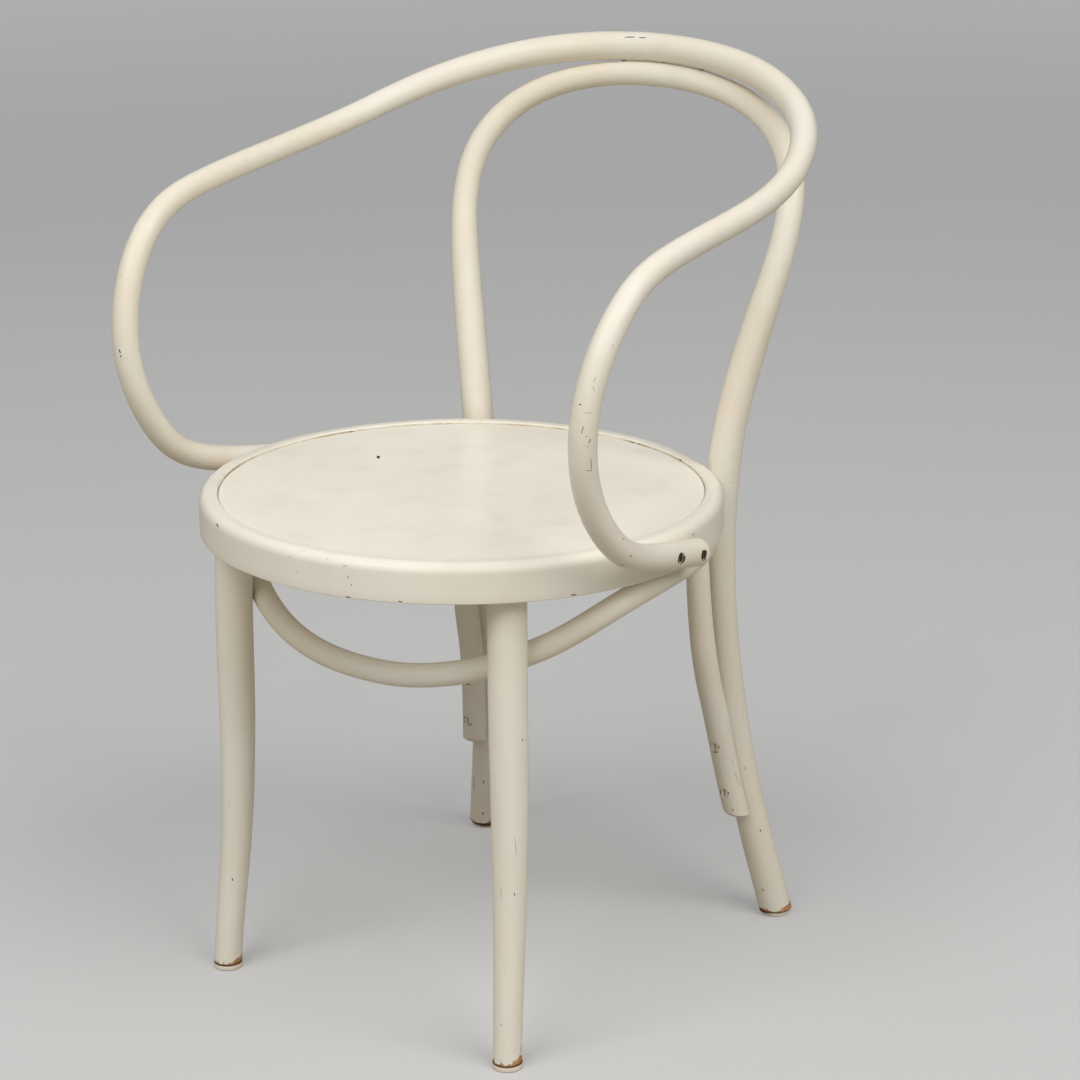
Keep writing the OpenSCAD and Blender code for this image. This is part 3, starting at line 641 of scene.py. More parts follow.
# Turned profiles: further points on the flat faces, and the recess, edges and top of a glide
RING_TOP_IN = (0.0115, 0.0135)
RING_STEP_UP = 0.003
RING_STEP_IN = 0.006
RING_INSIDE_Z = (-0.018, -0.026)
RING_UNDER_OUT = (0.012, 0.03)
RING_OUTSIDE_Z = (-0.027, -0.018, -0.012)
PANEL_AXIS = 0.0004
PANEL_FLAT = (0.02, 0.006, 22)
PANEL_UNDER = (0.02, 0.12)
GLIDE_RECESS = [(0.0034, 0.0018), (0.0034, 0.0004), (0.0042, 0)]
GLIDE_ROUND = 0.0016
GLIDE_RIM = (0.0014, 0.0008, 0.0012)
GLIDE_TOP_R = (0.0125, 0.006, 0.0013)
GLIDE_SUNK = 0.0004


def make_ring():
    inner, step = seat_r - ring_w, seat_r - rim_w + wood_gap
    floor_z = -panel_drop - panel_t
    soft = ring_soft
    profile = (
        arc(seat_r - ring_round, -ring_round, ring_round, 0, 90, 14)
        + [(seat_r - x, 0) for x in RING_TOP_IN]
        + arc(step + rim_round, -rim_round, rim_round, 90, 180, 8)
        + [(step, floor_z + RING_STEP_UP), (step, floor_z), (step - RING_STEP_IN, floor_z)]
        + arc(inner + soft, floor_z - soft, soft, 90, 180, 4)
        + [(inner, z) for z in RING_INSIDE_Z]
        + arc(inner + soft, -ring_t + soft, soft, 180, 270, 4)
        + [(inner + x, -ring_t) for x in RING_UNDER_OUT]
        + arc(seat_r - soft, -ring_t + soft, soft, 270, 360, 5)
        + [(seat_r, z) for z in RING_OUTSIDE_Z])
    return revolve("seat_ring_skin", profile, RING_TURNS, from_seat, wave=WAVE, seed=2.0, closed=True)


def make_panel():
    r = seat_r - rim_w
    top, base = -panel_drop, -panel_drop - panel_t
    first, rest, count = PANEL_FLAT
    profile = [(PANEL_AXIS, top)] + [(x, top) for x in np.linspace(first, r - rest, count)]
    profile += arc(r - panel_round, top - panel_round, panel_round, 90, 0, 6)
    profile += [(r, base), (r - PANEL_UNDER[0], base), (PANEL_UNDER[1], base), (PANEL_AXIS, base)]
    return revolve("seat_panel_skin", profile, PANEL_TURNS, from_seat, wave=PANEL_WAVE, seed=9.0)


def make_glide(name, foot):
    r = glide_d / 2
    rim_in, rim_down, rim_r = GLIDE_RIM
    profile = GLIDE_RECESS + arc(r - GLIDE_ROUND, GLIDE_ROUND, GLIDE_ROUND, 270, 345, 6)
    profile += arc(r - rim_in, glide_t - rim_down, rim_r, 10, 90, 6)
    profile += [(x, glide_t + GLIDE_SUNK) for x in GLIDE_TOP_R]
    profile += [(GLIDE_TOP_R[-1], GLIDE_RECESS[0][1])]
    place = np.array([foot[0], foot[1], 0])
    return revolve(name, profile, GLIDE_TURNS, lambda p: p + place, closed=True)


ring = make_ring()
panel = make_panel()


def linear(*rgb):
    """Levels of 0 to 255, as a screen shows them, as linear light."""
    return tuple(c / 12.92 / 255 if c <= 10 else ((c / 255 + 0.055) / 1.055) ** 2.4 for c in rgb)


# Colours as they should come out under plain light
IVORY = linear(235, 231, 218)
IVORY_WARM = linear(233, 226, 208)
IVORY_PALE = linear(240, 236, 225)
# The same paint made lighter for the seat panel, and for the seat ring and front legs: painted light,
# brightening these pieces as stronger light on them would
IVORY_PANEL_PAINTED_LIGHT = linear(249, 244, 231)
IVORY_SEAT_PAINTED_LIGHT = linear(241, 237, 224)
SMUDGE = linear(205, 195, 170)
BLUSH = linear(239, 222, 208)
UNDERCOAT = linear(246, 244, 238)
BARE_DARK = linear(56, 36, 24)
BARE_WOOD = linear(126, 86, 54)
RED_BROWN = linear(150, 88, 72)
WORN_DARK = linear(178, 130, 86)
WORN_WOOD = linear(212, 168, 122)
WORN_SEAM = linear(96, 66, 44)
FAINT_DIRT_AND_SHADE = linear(140, 112, 78)
GROOVE_DIRT_AND_SHADE = linear(176, 146, 100)
GLIDE_TONES = (linear(238, 224, 206), linear(244, 234, 220))
GLIDE_GRIME = linear(110, 98, 86)
GLIDE_SEAM = linear(96, 68, 48)
STEEL_TONES = (linear(150, 146, 140), linear(188, 184, 178))
RUST = linear(104, 66, 42)
RUSTY_TONES = (linear(38, 30, 27), linear(84, 66, 54))
PAINTED_TONES = (linear(60, 46, 36), linear(110, 88, 70))
BACKDROP = linear(180, 180, 179)
FLOOR_TONES = (linear(206, 206, 205), linear(212, 212, 211))
FLOOR_SPECKS = linear(192, 192, 191)
FLOOR_BOUNCE = linear(172, 163, 150)
FLOOR_GLOW = linear(206, 207, 207)
SKY = (0.86, 0.87, 0.88)

# A piece's ivory, and the shares of the warm, pale and pink patches on it; the ring, front legs and panel
# get the same ivory made lighter, as painted light standing in for more light falling on them
ROD_TONES = (IVORY, 1, 0.55, 0.3)
SEAT_PAINTED_LIGHT_TONES = (IVORY_SEAT_PAINTED_LIGHT, 0.4, 0.2, 0.12)
PANEL_PAINTED_LIGHT_TONES = (IVORY_PANEL_PAINTED_LIGHT, 0.4, 0.2, 0.12)

# Noises: scale, detail and roughness
GRAIN_NOISE = (1, 1, 0.4)
PEEL_NOISE = (300, 1, 0.4)
TORN_NOISE = (900, 2, 0.5)
SCUFF_NOISE = (260, 5, 0.65)
SPOT_NOISE = (600, 5, 0.7)
GRIT_NOISE = (1500, 4, 0.7)
FLAKE_NOISE = (700, 3, 0.6)

# Patches: a noise, the values between which they come in and, if not 0 and 1, their two levels
WARM_PATCHES = (5.5, 3, 0.6, 0.35, 0.68)
PALE_PATCHES = (38, 3, 0.55, 0.5, 0.85)
PINK_PATCHES = (11, 2, 0.5, 0.46, 0.72)
SMUDGE_PATCHES = (26, 2, 0.5, 0.48, 0.78, 0, 0.13)
WORN_TEETH = (330, 4, 0.6, 0.46, 0.78, 0, 0.0042)
WORN_PATCHES = (75, 2, 0.5, 0.5, 0.75, 0, 0.003)
WORN_FIBRES = (520, 3, 0.6, 0.35, 0.68)
GROOVE_DIRT_AND_SHADE_PATCHES = (34, 4, 0.6, 0.4, 0.72, 0.12, 0.8)
CRACK_PATCHES = (230, 2, 0.5, 0.5, 0.56)
GLOSS_PATCHES = (22, 4, 0.6, 0.3, 0.75, 0.29, 0.4)
FLOOR_PATCHES = (160, 3, 0.6, 0.5, 0.8, 0, 0.25)

# Fades: the values between which they go, and their levels before and after
MARK_EDGE = (0.8, 1.05, 1, 0)
LIP_EDGE = (1.0, 2.1, 0.7, 0)
WORN_ACROSS = (-0.002, 0.0145, 0.0013, 0.0066)
WORN_EDGE = (-0.0002, 0.0003, 1, 0)
WORN_LIP = (0.0004, 0.0016, 0.6, 0)
FOOT_SIDE = (0.03, 0.031, 1, 0)
FOOT_SEAM = (0.0006, 0.0022, 1, 0)
GROOVE_INSIDE = (seat_r - rim_w - 0.0012, seat_r - rim_w + 0.0001)
GROOVE_OUTSIDE = (seat_r - rim_w + 0.0004, seat_r - rim_w + 0.0019, 1, 0)
GROOVE_TOP = (-0.0021, -0.0009, 1, 0)
GROOVE_FLOOR = (-0.015, -0.013, 0, 1)
CRACK_EDGE = (0.0002, 0.0006, 1, 0)
CRACK_DEPTH = (0.0025, 0.004, 1, 0)
GRIME_HEIGHT = (0.0, 0.0014, 0.7, 0.04)
GRIME_SCUFFS = (0.4, 0.7, 0.1, 0.9)
GLIDE_ROUGH = (0.3, 0.7, 0.42, 0.62)
SLOT_FLOOR = (0.0004, 0.0008, 1, 0)
GLOW_FAR = (3.5, 8.5)
GLOW_SHARE = (3.0, 9.0, 0.3, 1.0)

# Further values of the looks
PINK_SHIFT = (3.1, 0, 0)
SMUDGE_STRETCH = (1, 1, 0.35)
TEETH_STRETCH = (1, 1, 0.22)
WORN_STRETCH = (1, 1, 0.3)
FIBRE_STRETCH = (1, 1, 0.12)
GRAIN_ALONG, GRAIN_ACROSS = 9, 420
GRAIN_SHARE, PEEL_SHARE = 0.5, 0.6
GRAIN_DEPTH = 0.00004
CHIP_DEPTH = 0.00018
TORN_REACH = 1.25
STRAIGHT_SHARE = 0.35
FAINT_SHARE = 0.5
CRACK_SHIFT = 0.37
KIND_SOFT = 0.1
SLOT_Z = 0.0011
PAINT_SOFT = 0.06


class Graph:
    """Short words for building a node tree."""

    def __init__(self, name):
        self.mat = bpy.data.materials.new(name)
        self.mat.use_nodes = True
        self.tree = self.mat.node_tree
        self.shader = self.tree.nodes["Principled BSDF"]
        self.here = self.new("TexCoord").outputs["Object"]

    def new(self, kind, inputs=(), **settings):
        node = self.tree.nodes.new("ShaderNode" + kind)
        for key, value in settings.items():
            setattr(node, key, value)
        for key, value in dict(inputs).items():
            self.set(node.inputs[key], value)
        return node

    def set(self, socket, value):
        if isinstance(value, bpy.types.NodeSocket):
            self.tree.links.new(value, socket)
        elif isinstance(value, tuple) and len(value) == 3 and socket.type == "RGBA":
            socket.default_value = (*value, 1)
        else:
            socket.default_value = value

    def put(self, name, value):
        self.set(self.shader.inputs[name], value)

    def math(self, operation, a, b=0.0, clamp=False):
        return self.new("Math", enumerate((a, b)), operation=operation, use_clamp=clamp).outputs[0]

    def plus(self, a, b):
        return self.math("ADD", a, b)

    def minus(self, a, b):
        return self.math("SUBTRACT", a, b)

    def times(self, a, b):
        return self.math("MULTIPLY", a, b)

    def most(self, a, b):
        return self.math("MAXIMUM", a, b)

    def off_axis(self, parts):
        """Distance from the z axis."""
        squares = [self.math("POWER", part, 2.0) for part in parts[:2]]
        return self.math("SQRT", self.plus(*squares))

    def vector(self, operation, a, b=None):
        node = self.new("VectorMath", {0: a}, operation=operation)
        if b is not None:
            self.set(node.inputs[3 if operation == "SCALE" else 1], b)
        return node.outputs["Value" if operation == "LENGTH" else "Vector"]

    def noise(self, where, scale, detail=3.0, rough=0.55, colour=False):
        node = self.new("TexNoise", {"Vector": where, "Scale": scale, "Detail": detail, "Roughness": rough})
        return node.outputs["Color" if colour else "Fac"]

    def place(self, where, location=(0, 0, 0), rotation=(0, 0, 0), scale=(1, 1, 1), kind="POINT"):
        inputs = {"Vector": where, "Location": location, "Rotation": rotation, "Scale": scale}
        return self.new("Mapping", inputs, vector_type=kind).outputs[0]

    def fade(self, value, low, high, to_low=0.0, to_high=1.0):
        """Goes smoothly from to_low to to_high as value goes from low to high."""
        inputs = enumerate((value, low, high, to_low, to_high))
        return self.new("MapRange", inputs, interpolation_type="SMOOTHSTEP").outputs[0]

    def patches(self, where, scale, detail, rough, *limits):
        return self.fade(self.noise(where, scale, detail, rough), *limits)

    def from_kind(self, kind, first, below=0.0, above=1.0):
        """above for the kind of mark named first and those after it, and below for those before it."""
        middle = KINDS[first] - 0.5
        return self.fade(kind, middle - KIND_SOFT, middle + KIND_SOFT, below, above)

    def mix(self, factor, a, b):
        return self.new("Mix", {"Factor": factor, 6: a, 7: b}, data_type="RGBA").outputs[2]

    def bump(self, height, distance, normal=None):
        node = self.new("Bump", {"Height": height, "Distance": distance})
        if normal is not None:
            self.set(node.inputs["Normal"], normal)
        return node.outputs[0]

    def split(self, where):
        return self.new("SeparateXYZ", {0: where}).outputs

    def seat_place(self):
        """Place in the seat's own frame, with the seat's axis as z and its rim at height 0."""
        return self.place(self.here, (0, axis_y, seat_h), (-seat_slope, 0, 0), kind="TEXTURE")

    def screw_place(self, site):
        """Place in a screw's own frame, with z going into the wood from the head's middle."""
        return self.place(self.here, site[0], spin_to(site[1]).to_euler(), kind="TEXTURE")

    def marks(self, ragged):
        """Distance to the nearest mark as a share of that mark's size, and the mark's kind."""
        fields = []
        for layer in MARK_LAYERS:
            read = self.new("Attribute", attribute_name=layer)
            x, y, kind = self.split(read.outputs["Vector"])
            jag = self.from_kind(kind, "brown", 1.0, STRAIGHT_SHARE)
            moved = [self.plus(v, self.times(r, jag)) for v, r in zip((x, y), ragged)]
            near = self.new("CombineXYZ", enumerate(moved))
            fields.append((self.vector("LENGTH", near.outputs[0]), kind))
        (a, kind_a), (b, kind_b) = fields
        kind = self.plus(kind_b, self.times(self.math("LESS_THAN", a, b), self.minus(kind_a, kind_b)))
        return self.math("MINIMUM", a, b), kind


# Marks in the paint, and on the brace strokes of painted shade, at the photograph's pixels: start, end and
# width of each stroke
RAIL_MARKS = {
    "dark": [(624.5, 37.2, 635.7, 37.0, 1.3), (639, 37.6, 646, 37.9, 1.2), (119.2, 350, 120.2, 352.6, 1.7),
             (120.4, 355.4, 121, 357, 1.4), (579.6, 404.6, 580.6, 404.6, 1.5),
             (583.5, 426.2, 581.4, 433.8, 0.9), (591, 438.5, 588.5, 444, 0.9),
             (586, 436.5, 586.6, 437, 0.9), (587.6, 446, 588, 446.8, 0.9), (612.5, 345, 613.2, 345.6, 1.0)],
    "brown": [(617, 565, 625, 565.6, 1.4), (630, 555, 632, 557.4, 1.0), (622.6, 537.6, 624.2, 540.2, 1.0)],
    "red": [(590.6, 457, 591.6, 472, 0.9), (586, 470.6, 591.6, 470.8, 0.8)],
    "faint": [(583, 413, 593, 413.2, 0.8), (139, 348.6, 139, 351.4, 1.4), (595.9, 376.7, 593.2, 382.6, 1.0),
              (592.9, 385.8, 594.2, 392.2, 1.0)],
}
RING_MARKS = {
    "dark": [(216.6, 523.6, 218.2, 527, 1.7), (348, 576.2, 348.2, 578, 0.9),
             (351.2, 584.2, 351.6, 585.2, 1.0)],
    "brown": [(345.5, 596.8, 350.5, 597.4, 1.3), (398, 601.5, 402.5, 601.9, 1.2),
              (571, 595.2, 576.5, 594.6, 1.4), (629.5, 441.7, 634.5, 442.9, 1.3),
              (637, 443.6, 641, 444.6, 1.2), (679, 458.8, 682, 460.8, 1.3),
              (348, 432.2, 353.5, 431.7, 1.4), (221, 484.5, 223, 481.5, 1.2)],
    "red": [(692.6, 534.4, 693.6, 534.8, 1.4)],
    "faint": [(289.7, 555.4, 289.7, 558.6, 1.0), (341.5, 566.3, 347.5, 565.8, 1.0),
              (297, 571.5, 297, 574, 1.0)],
}
PANEL_MARKS = {
    "dark": [(378.3, 455.9, 378.5, 458.1, 3.4)],
    "faint": [(277, 482.6, 285, 482.4, 1.2), (305, 544.5, 309, 544.6, 1.3)],
}
NEAR_LEG_MARKS = {
    "dark": [(522.3, 739, 522.5, 741, 1.1), (520.5, 1044, 520.6, 1054, 0.7)],
    "brown": [(501, 1023.4, 501, 1026, 0.8), (514.4, 893, 514.8, 896, 1.1)],
    "faint": [(514.6, 835, 516.5, 858, 0.8), (501, 887, 501, 899, 0.9)],
}
FAR_LEG_MARKS = {
    "dark": [(213.4, 938, 214.4, 940.5, 1.2)],
}
HOOP_MARKS = {
    "dark": [(473.8, 775, 474.2, 792, 0.9), (483.4, 780.5, 483.6, 783.5, 1.0), (482.8, 812, 483, 815, 1.2),
             (760, 829, 760.6, 831.5, 1.2)],
    "brown": [(762.4, 888.6, 763.2, 891.4, 1.2)],
    "faint": [(744.6, 766.6, 746, 769.6, 1.3)],
}
# On the brace the faint strokes are painted shade: the shading line of the crease where the brace's drop
# lies against the rear leg
BRACE_MARKS = {
    "dark": [(461.8, 713.6, 462.4, 717, 1.2), (464.4, 716.6, 465.4, 719.4, 1.2),
             (732.2, 809.2, 733.4, 811, 1.1)],
    "faint": [(739, 777, 743, 789, 0.8), (731.5, 759, 734, 766, 0.7), (733.8, 770.4, 737.4, 779.4, 1.2),
              (737.4, 780, 740.2, 786.4, 1.0)],
}
KINDS = {"dark": 1, "brown": 2, "red": 3, "faint": 4}
MARK_LAYERS = ("marks_a", "marks_b")

# Laying marks: the place that means no mark, the reach round a mark in its half sizes, the search
# for its faces, and the slope at which a face is too steep
NO_MARK = 50.0
MARK_REACH = 2.6
SEARCH_SHARE, SEARCH_MORE = 1.6, 0.012
GRAZING = 0.2

# Stray marks: half lengths and half widths of scratches and nicks, and how many are of which sort
SCRATCH_L = (0.0012, 0.004)
SCRATCH_W = 0.00025
NICK_L = (0.0003, 0.0007)
NICK_W = (0.0002, 0.0004)
SCRATCH_SHARE = 0.4
FAINT_NICKS = 0.5


def pixel_ray(x, y):
    return (look * focal_px + right * (x - PHOTO / 2) - up * (y - PHOTO / 2)).normalized()


def frame_turn(normal, along):
    """Rotation whose x lies along the mark and whose z is the surface's normal."""
    across = normal.cross(along).normalized()
    along = across.cross(normal)
    return Matrix((along, across, normal))


def find_marks(tree, strokes):
    """Each stroke as place, turn and half length and width on the piece, in metres."""
    found = []
    for x0, y0, x1, y1, width in strokes:
        middle = pixel_ray((x0 + x1) / 2, (y0 + y1) / 2)
        spot, normal, _, far = tree.ray_cast(eye, middle)
        if spot is None:
            far = (Vector((0, 0, seat_h)) - eye).dot(middle)
            spot, normal, _, _ = tree.find_nearest(eye + middle * far)
            far = (spot - eye).length

        def on_plane(x, y):
            ray = pixel_ray(x, y)
            tilt = ray.dot(normal)
            if abs(tilt) < GRAZING:
                return eye + ray * far
            return eye + ray * ((spot - eye).dot(normal) / tilt)

        along = on_plane(x1, y1) - on_plane(x0, y0)
        thick = width / 2 * far / focal_px
        found.append((spot, frame_turn(normal, along), (along.length / 2 + thick, thick)))
    return found


def stray_marks(obj, count, seed):
    """Small nicks scattered over the whole piece, also where the photograph doesn't look."""
    dice = np.random.default_rng(seed)
    mesh = obj.data
    found = {"dark": [], "faint": []}
    for index in dice.choice(len(mesh.polygons), count, replace=False):
        face = mesh.polygons[int(index)]
        along = Vector(dice.normal(size=3))
        along = along - along.dot(face.normal) * face.normal
        scratch = dice.random() < SCRATCH_SHARE
        half = (dice.uniform(*SCRATCH_L), SCRATCH_W) if scratch else (
            dice.uniform(*NICK_L), dice.uniform(*NICK_W))
        kind = "faint" if scratch or dice.random() < FAINT_NICKS else "dark"
        found[kind].append((face.center.copy(), frame_turn(face.normal, along), half))
    return found


def lay_marks(obj, strokes, strays, seed):
    """Writes each mark's own coordinates and its kind to the corners of the faces around it."""
    mesh = obj.data
    tree = BVHTree.FromObject(obj, bpy.context.evaluated_depsgraph_get())
    rows = [(kind, row) for kind, found in strokes.items() for row in find_marks(tree, found)]
    rows += [(kind, row) for kind, found in stray_marks(obj, strays, seed).items() for row in found]
    centres = KDTree(len(mesh.polygons))
    for face in mesh.polygons:
        centres.insert(face.center, face.index)
    centres.balance()
    values = [np.full((len(mesh.loops), 3), NO_MARK) for _ in MARK_LAYERS]
    taken = [set() for _ in MARK_LAYERS]
    for kind, (spot, turn, half) in rows:
        for _, index, _ in centres.find_range(spot, half[0] * SEARCH_SHARE + SEARCH_MORE):
            face = mesh.polygons[index]
            if face.normal.dot(turn[2]) < GRAZING:
                continue
            local = [turn @ (mesh.vertices[v].co - spot) for v in face.vertices]
            if any(min(c[k] for c in local) > half[k] * MARK_REACH
                   or max(c[k] for c in local) < -half[k] * MARK_REACH for k in (0, 1)):
                continue
            for layer, used in zip(values, taken):
                if index in used:
                    continue
                used.add(index)
                for loop, c in zip(face.loop_indices, local):
                    layer[loop] = (c[0] / half[0], c[1] / half[1], KINDS[kind])
                break
    for name, layer in zip(MARK_LAYERS, values):
        attribute = mesh.attributes.new(name, "FLOAT_VECTOR", "CORNER")
        attribute.data.foreach_set("vector", layer.astype(np.float32).ravel())


def paint_material(name, obj, strokes, strays, seed, tones=ROD_TONES, rod=True, groove=False, feet=(),
                   screws=()):
    """Old semi-gloss ivory paint on wood, with its chips, scratches, dirt and worn places, and painted
    shade in the seat's groove and along the brace's crease.
    """
    g = Graph(name)
    here = g.here
    lay_marks(obj, strokes, strays, seed)

    # For the ring, front legs and panel the tones' ivory is lighter, as painted light
    ivory, warm, pale, pink = tones
    colour = g.mix(g.patches(here, *WARM_PATCHES, 0, warm), ivory, IVORY_WARM)
    colour = g.mix(g.patches(here, *PALE_PATCHES, 0, pale), colour, IVORY_PALE)
    colour = g.mix(g.patches(g.place(here, PINK_SHIFT), *PINK_PATCHES, 0, pink), colour, BLUSH)
    colour = g.mix(g.patches(g.place(here, scale=SMUDGE_STRETCH), *SMUDGE_PATCHES), colour, SMUDGE)

    at, deep = (g.new("UVMap", uv_map="rod").outputs[0], 1) if rod else (here, GRAIN_ALONG)
    grain_at = g.place(at, scale=(GRAIN_ALONG, GRAIN_ACROSS, deep))
    height = g.plus(g.times(g.noise(grain_at, *GRAIN_NOISE), GRAIN_SHARE),
                    g.times(g.noise(here, *PEEL_NOISE), PEEL_SHARE))

    torn = g.vector("SUBTRACT", g.noise(here, *TORN_NOISE, True), (0.5, 0.5, 0.5))
    field, kind = g.marks(g.split(g.vector("SCALE", torn, TORN_REACH)))
    damage = g.times(g.fade(field, *MARK_EDGE), g.from_kind(kind, "faint", 1, FAINT_SHARE))
    lip = g.times(g.fade(field, *LIP_EDGE), g.from_kind(kind, "red", 1, 0))
    colour = g.mix(lip, colour, UNDERCOAT)
    base = g.mix(g.from_kind(kind, "brown"), BARE_DARK, BARE_WOOD)
    base = g.mix(g.from_kind(kind, "red"), base, RED_BROWN)
    # Faint marks are dirt in scratches, and on the brace painted shade along a crease
    base = g.mix(g.from_kind(kind, "faint"), base, FAINT_DIRT_AND_SHADE)
    colour = g.mix(damage, colour, base)

    for foot_x, foot_y, shift in feet:
        x, y, z = g.split(here)
        out = g.plus(g.times(g.minus(x, foot_x), flat_right.x), g.times(g.minus(y, foot_y), flat_right.y))
        teeth = g.patches(g.place(here, (shift, 0, 0), scale=TEETH_STRETCH), *WORN_TEETH)
        patch = g.patches(g.place(here, (shift, 0, 0), scale=WORN_STRETCH), *WORN_PATCHES)
        bare_h = g.plus(g.plus(g.fade(out, *WORN_ACROSS), teeth), patch)
        above = g.minus(z, glide_t)
        rise = g.minus(above, bare_h)
        this_foot = g.fade(g.math("ABSOLUTE", g.minus(x, foot_x)), *FOOT_SIDE)
        worn = g.times(g.fade(rise, *WORN_EDGE), this_foot)
        colour = g.mix(g.times(g.fade(rise, *WORN_LIP), this_foot), colour, UNDERCOAT)
        fibres = g.patches(g.place(here, scale=FIBRE_STRETCH), *WORN_FIBRES)
        bare = g.mix(g.fade(above, *FOOT_SEAM), g.mix(fibres, WORN_DARK, WORN_WOOD), WORN_SEAM)
        colour = g.mix(worn, colour, bare)
        damage = g.most(damage, worn)

    # A tan line along the groove where the ring meets the panel: partly dirt, partly painted shade in the
    # crevice
    if groove:
        seat = g.split(g.seat_place())
        reach = g.off_axis(seat)
        across = g.times(g.fade(reach, *GROOVE_INSIDE), g.fade(reach, *GROOVE_OUTSIDE))
        down = g.times(g.fade(seat[2], *GROOVE_TOP), g.fade(seat[2], *GROOVE_FLOOR))
        dirt_and_shade = g.times(g.times(across, down), g.patches(here, *GROOVE_DIRT_AND_SHADE_PATCHES))
        colour = g.mix(dirt_and_shade, colour, GROOVE_DIRT_AND_SHADE)

    for k, site in enumerate(screws):
        local = g.split(g.screw_place(site))
        off = g.math("ABSOLUTE", g.minus(g.off_axis(local), crack_r))
        broken = g.patches(g.place(here, (CRACK_SHIFT * k, 0, 0)), *CRACK_PATCHES)
        crack = g.times(g.times(g.fade(off, *CRACK_EDGE), broken), g.fade(local[2], *CRACK_DEPTH))
        colour = g.mix(crack, colour, BARE_DARK)
        damage = g.most(damage, crack)

    g.put("Base Color", colour)
    g.put("Roughness", g.math("ADD", g.patches(here, *GLOSS_PATCHES), g.times(damage, 0.4), clamp=True))
    g.put("Specular IOR Level", g.minus(0.07, g.times(damage, 0.03)))
    g.put("Coat Weight", g.minus(0.13, g.times(damage, 0.13)))
    g.put("Coat Roughness", 0.12)
    g.put("IOR", 1.5)
    g.put("Normal", g.bump(g.minus(1.0, damage), CHIP_DEPTH, g.bump(height, GRAIN_DEPTH)))
    return g.mat


def glide_material():
    g = Graph("glide_plastic")
    here = g.here
    scuff = g.noise(here, *SCUFF_NOISE)
    colour = g.mix(g.noise(here, 70), *GLIDE_TONES)
    low = g.split(here)[2]
    grime = g.times(g.fade(low, *GRIME_HEIGHT), g.fade(scuff, *GRIME_SCUFFS))
    colour = g.mix(grime, colour, GLIDE_GRIME)
    seam = g.fade(low, glide_t - 0.0006, glide_t + 0.0001)
    g.put("Base Color", g.mix(seam, colour, GLIDE_SEAM))
    g.put("Roughness", g.fade(scuff, *GLIDE_ROUGH))
    g.put("Normal", g.bump(scuff, 0.00006))
    g.put("Subsurface Weight", 0.08)
    g.put("Subsurface Radius", (0.002, 0.0015, 0.001))
    return g.mat


def steel_material():
    g = Graph("fixing_steel")
    here = g.here
    spots = g.noise(here, *SPOT_NOISE)
    rust = g.fade(spots, 0.55, 0.7)
    g.put("Base Color", g.mix(rust, g.mix(g.noise(here, 120), *STEEL_TONES), RUST))
    g.put("Metallic", g.minus(1.0, g.times(rust, 0.9)))
    g.put("Roughness", g.plus(0.38, g.times(rust, 0.4)))
    g.put("Normal", g.bump(spots, 0.00008))
    return g.mat


def screw_material(name, sites, tones, paint_share, light_slot):
    """A slotted screw with paint on about paint_share of its head and, if light_slot, in its slot."""
    g = Graph(name)
    here = g.here
    grit = g.noise(here, *GRIT_NOISE)
    flake = g.noise(here, *FLAKE_NOISE)
    slot = None
    for site in sites:
        depth = g.split(g.screw_place(site))[2]
        near = g.fade(g.math("ABSOLUTE", g.minus(depth, SLOT_Z)), *SLOT_FLOOR)
        slot = near if slot is None else g.most(slot, near)
    covered = g.fade(flake, 1 - paint_share - PAINT_SOFT, 1 - paint_share + PAINT_SOFT)
    if light_slot:
        covered = g.most(g.times(slot, g.fade(flake, 0.4, 0.55, 0, 0.75)), covered)
    else:
        covered = g.times(covered, g.minus(1.0, g.times(slot, 0.85)))
    g.put("Base Color", g.mix(covered, g.mix(grit, *tones), IVORY_WARM))
    g.put("Roughness", g.minus(0.72, g.times(covered, 0.34)))
    g.put("Metallic", g.times(g.minus(1.0, covered), 0.25))
    g.put("Normal", g.bump(g.plus(grit, covered), 0.0001))
    return g.mat


def dress(obj, mat):
    obj.data.materials.clear()
    obj.data.materials.append(mat)


def add(obj, mat, slot, *nodes):
    dress(obj, mat)
    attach(obj, "root")
    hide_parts(*nodes)


def paint(obj, node, name, strokes, strays, seed, slot="painted_bentwood", **look):
    add(obj, paint_material(name, obj, strokes, strays, seed, **look), slot, node)


# The pieces; the last number of a foot shifts its wear, so that no two feet are alike
paint(rail, "arm_rail", "rail_paint", RAIL_MARKS, strays=34, seed=3, screws=arm_screw_sites())
rear_feet = [(side * rear_foot[0], rear_foot[1], 2.3 * side) for side in (1, -1)]
paint(hoop, "back_hoop", "hoop_paint", HOOP_MARKS, strays=30, seed=4, feet=rear_feet)
paint(brace, "brace_hoop", "brace_paint", BRACE_MARKS, strays=24, seed=5, screws=brace_screw_sites())
for (leg, word, side), strokes in zip(legs, (NEAR_LEG_MARKS, FAR_LEG_MARKS)):
    foot = [(side * front_foot[0], front_foot[1], 5.1 * side)]
    paint(leg, "front_leg_" + word, "leg_paint_" + word, strokes, strays=8, seed=8 + side,
          tones=SEAT_PAINTED_LIGHT_TONES, feet=foot)
paint(ring, "seat_ring", "ring_paint", RING_MARKS, strays=22, seed=6, tones=SEAT_PAINTED_LIGHT_TONES, groove=True)
paint(panel, "seat_panel", "panel_paint", PANEL_MARKS, strays=3, seed=7, slot="painted_plywood",
      tones=PANEL_PAINTED_LIGHT_TONES, rod=False, groove=True)
plastic = glide_material()
for side, word in ((1, "left"), (-1, "right")):
    for end, foot in (("front_", front_foot), ("rear_", rear_foot)):
        glide = make_glide("glide_skin_" + end + word, [side * foot[0], foot[1]])
        add(glide, plastic, "glide_plastic", "glide_" + end + word)

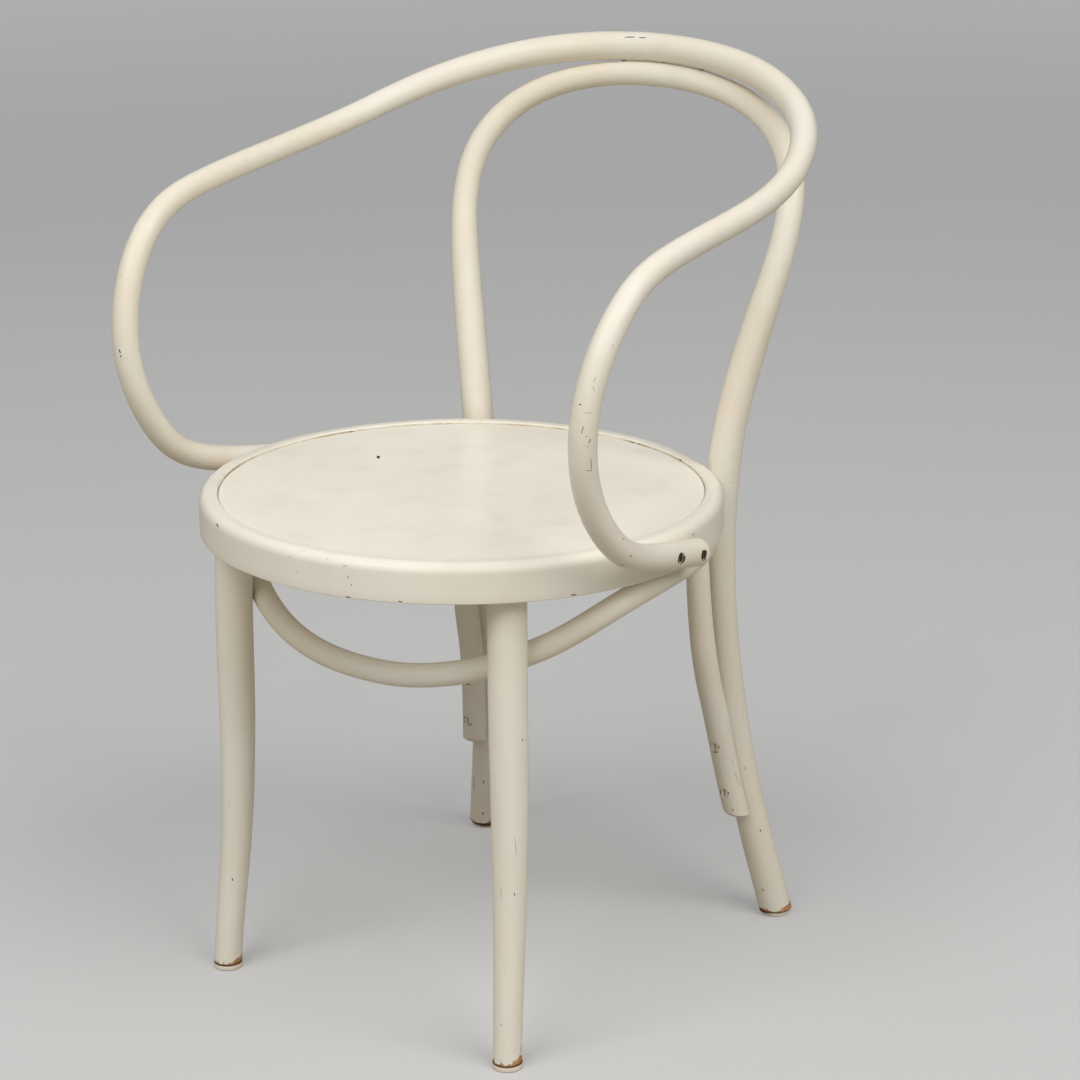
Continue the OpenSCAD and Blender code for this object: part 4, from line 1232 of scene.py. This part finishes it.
# The fasteners keep their shapes and get new materials
rusty = screw_material("rusty_screw", arm_screw_sites(), RUSTY_TONES, paint_share=0.2,
                       light_slot=True)
painted = screw_material("painted_screw", brace_screw_sites(), PAINTED_TONES, paint_share=0.74,
                         light_slot=False)
for word in ("left", "right"):
    dress(nodes["arm_screws_" + word], rusty)
    dress(nodes["brace_screws_" + word], painted)
steel = steel_material()
for name in ("glide_nails", "brace_ring_screws", "front_leg_screws", "rear_leg_bolts", "rear_leg_washers",
             "rail_screws"):
    dress(nodes[name], steel)

# Floor, world and lamps
FLOOR_HALF = 14
SKY_STRENGTH = 0.27
LAMP_SIZE = 2.7
LAMP_POWER = 99.5
LAMP_TARGET = Vector((0, 0, 0.4))


def blend(tree, factor, first, second, end):
    """Mixes two shaders by factor and gives the result to the node named end."""
    both = tree.nodes.new("ShaderNodeMixShader")
    for k, socket in enumerate((factor, first, second)):
        tree.links.new(socket, both.inputs[k])
    tree.links.new(both.outputs[0], tree.nodes[end].inputs["Surface"])


def make_floor():
    """A pale floor that the camera sees glow a little, more and more towards the backdrop."""
    corners = [(x * FLOOR_HALF, y * FLOOR_HALF, 0) for x, y in ((-1, -1), (1, -1), (1, 1), (-1, 1))]
    floor = mesh_object("floor", corners, [(0, 1, 2, 3)])
    g = Graph("floor")
    here = g.here
    colour = g.mix(g.noise(here, 1.3), *FLOOR_TONES)
    colour = g.mix(g.patches(here, *FLOOR_PATCHES), colour, FLOOR_SPECKS)
    seen = g.new("LightPath").outputs["Is Camera Ray"]
    g.put("Base Color", g.mix(seen, FLOOR_BOUNCE, colour))
    g.put("Roughness", 0.75)
    glow = g.new("Emission")
    reach = g.vector("LENGTH", here)
    g.set(glow.inputs["Color"], g.mix(g.fade(reach, *GLOW_FAR), FLOOR_GLOW, BACKDROP))
    share = g.times(seen, g.fade(reach, *GLOW_SHARE))
    blend(g.tree, share, g.shader.outputs[0], glow.outputs[0], "Material Output")
    dress(floor, g.mat)


def make_world():
    """A soft sky lights the chair, and the camera sees the plain backdrop in its place."""
    world = bpy.data.worlds.new("studio")
    bpy.context.scene.world = world
    world.use_nodes = True
    tree = world.node_tree
    sky = tree.nodes["Background"]
    wall = tree.nodes.new("ShaderNodeBackground")
    for node, colour, strength in ((sky, SKY, SKY_STRENGTH), (wall, BACKDROP, 1)):
        node.inputs["Color"].default_value = (*colour, 1)
        node.inputs["Strength"].default_value = strength
    seen = tree.nodes.new("ShaderNodeLightPath").outputs["Is Camera Ray"]
    blend(tree, seen, sky.outputs[0], wall.outputs[0], "World Output")


def area_lamp(name, place, colour):
    data = bpy.data.lights.new(name, "AREA")
    data.shape = "RECTANGLE"
    data.size = data.size_y = LAMP_SIZE
    data.energy = LAMP_POWER
    data.color = colour
    lamp = bpy.data.objects.new(name, data)
    lamp.location = place
    lamp.rotation_euler = (LAMP_TARGET - Vector(place)).to_track_quat("-Z", "Y").to_euler()
    bpy.context.scene.collection.objects.link(lamp)


make_floor()
make_world()
area_lamp("front_softbox", (0.0, -2.8, 3.66), (1, 0.985, 0.965))
area_lamp("side_softbox", (3.0, -0.4, 3.56), (1, 0.98, 0.955))
bpy.context.scene.view_settings.view_transform = "Standard"
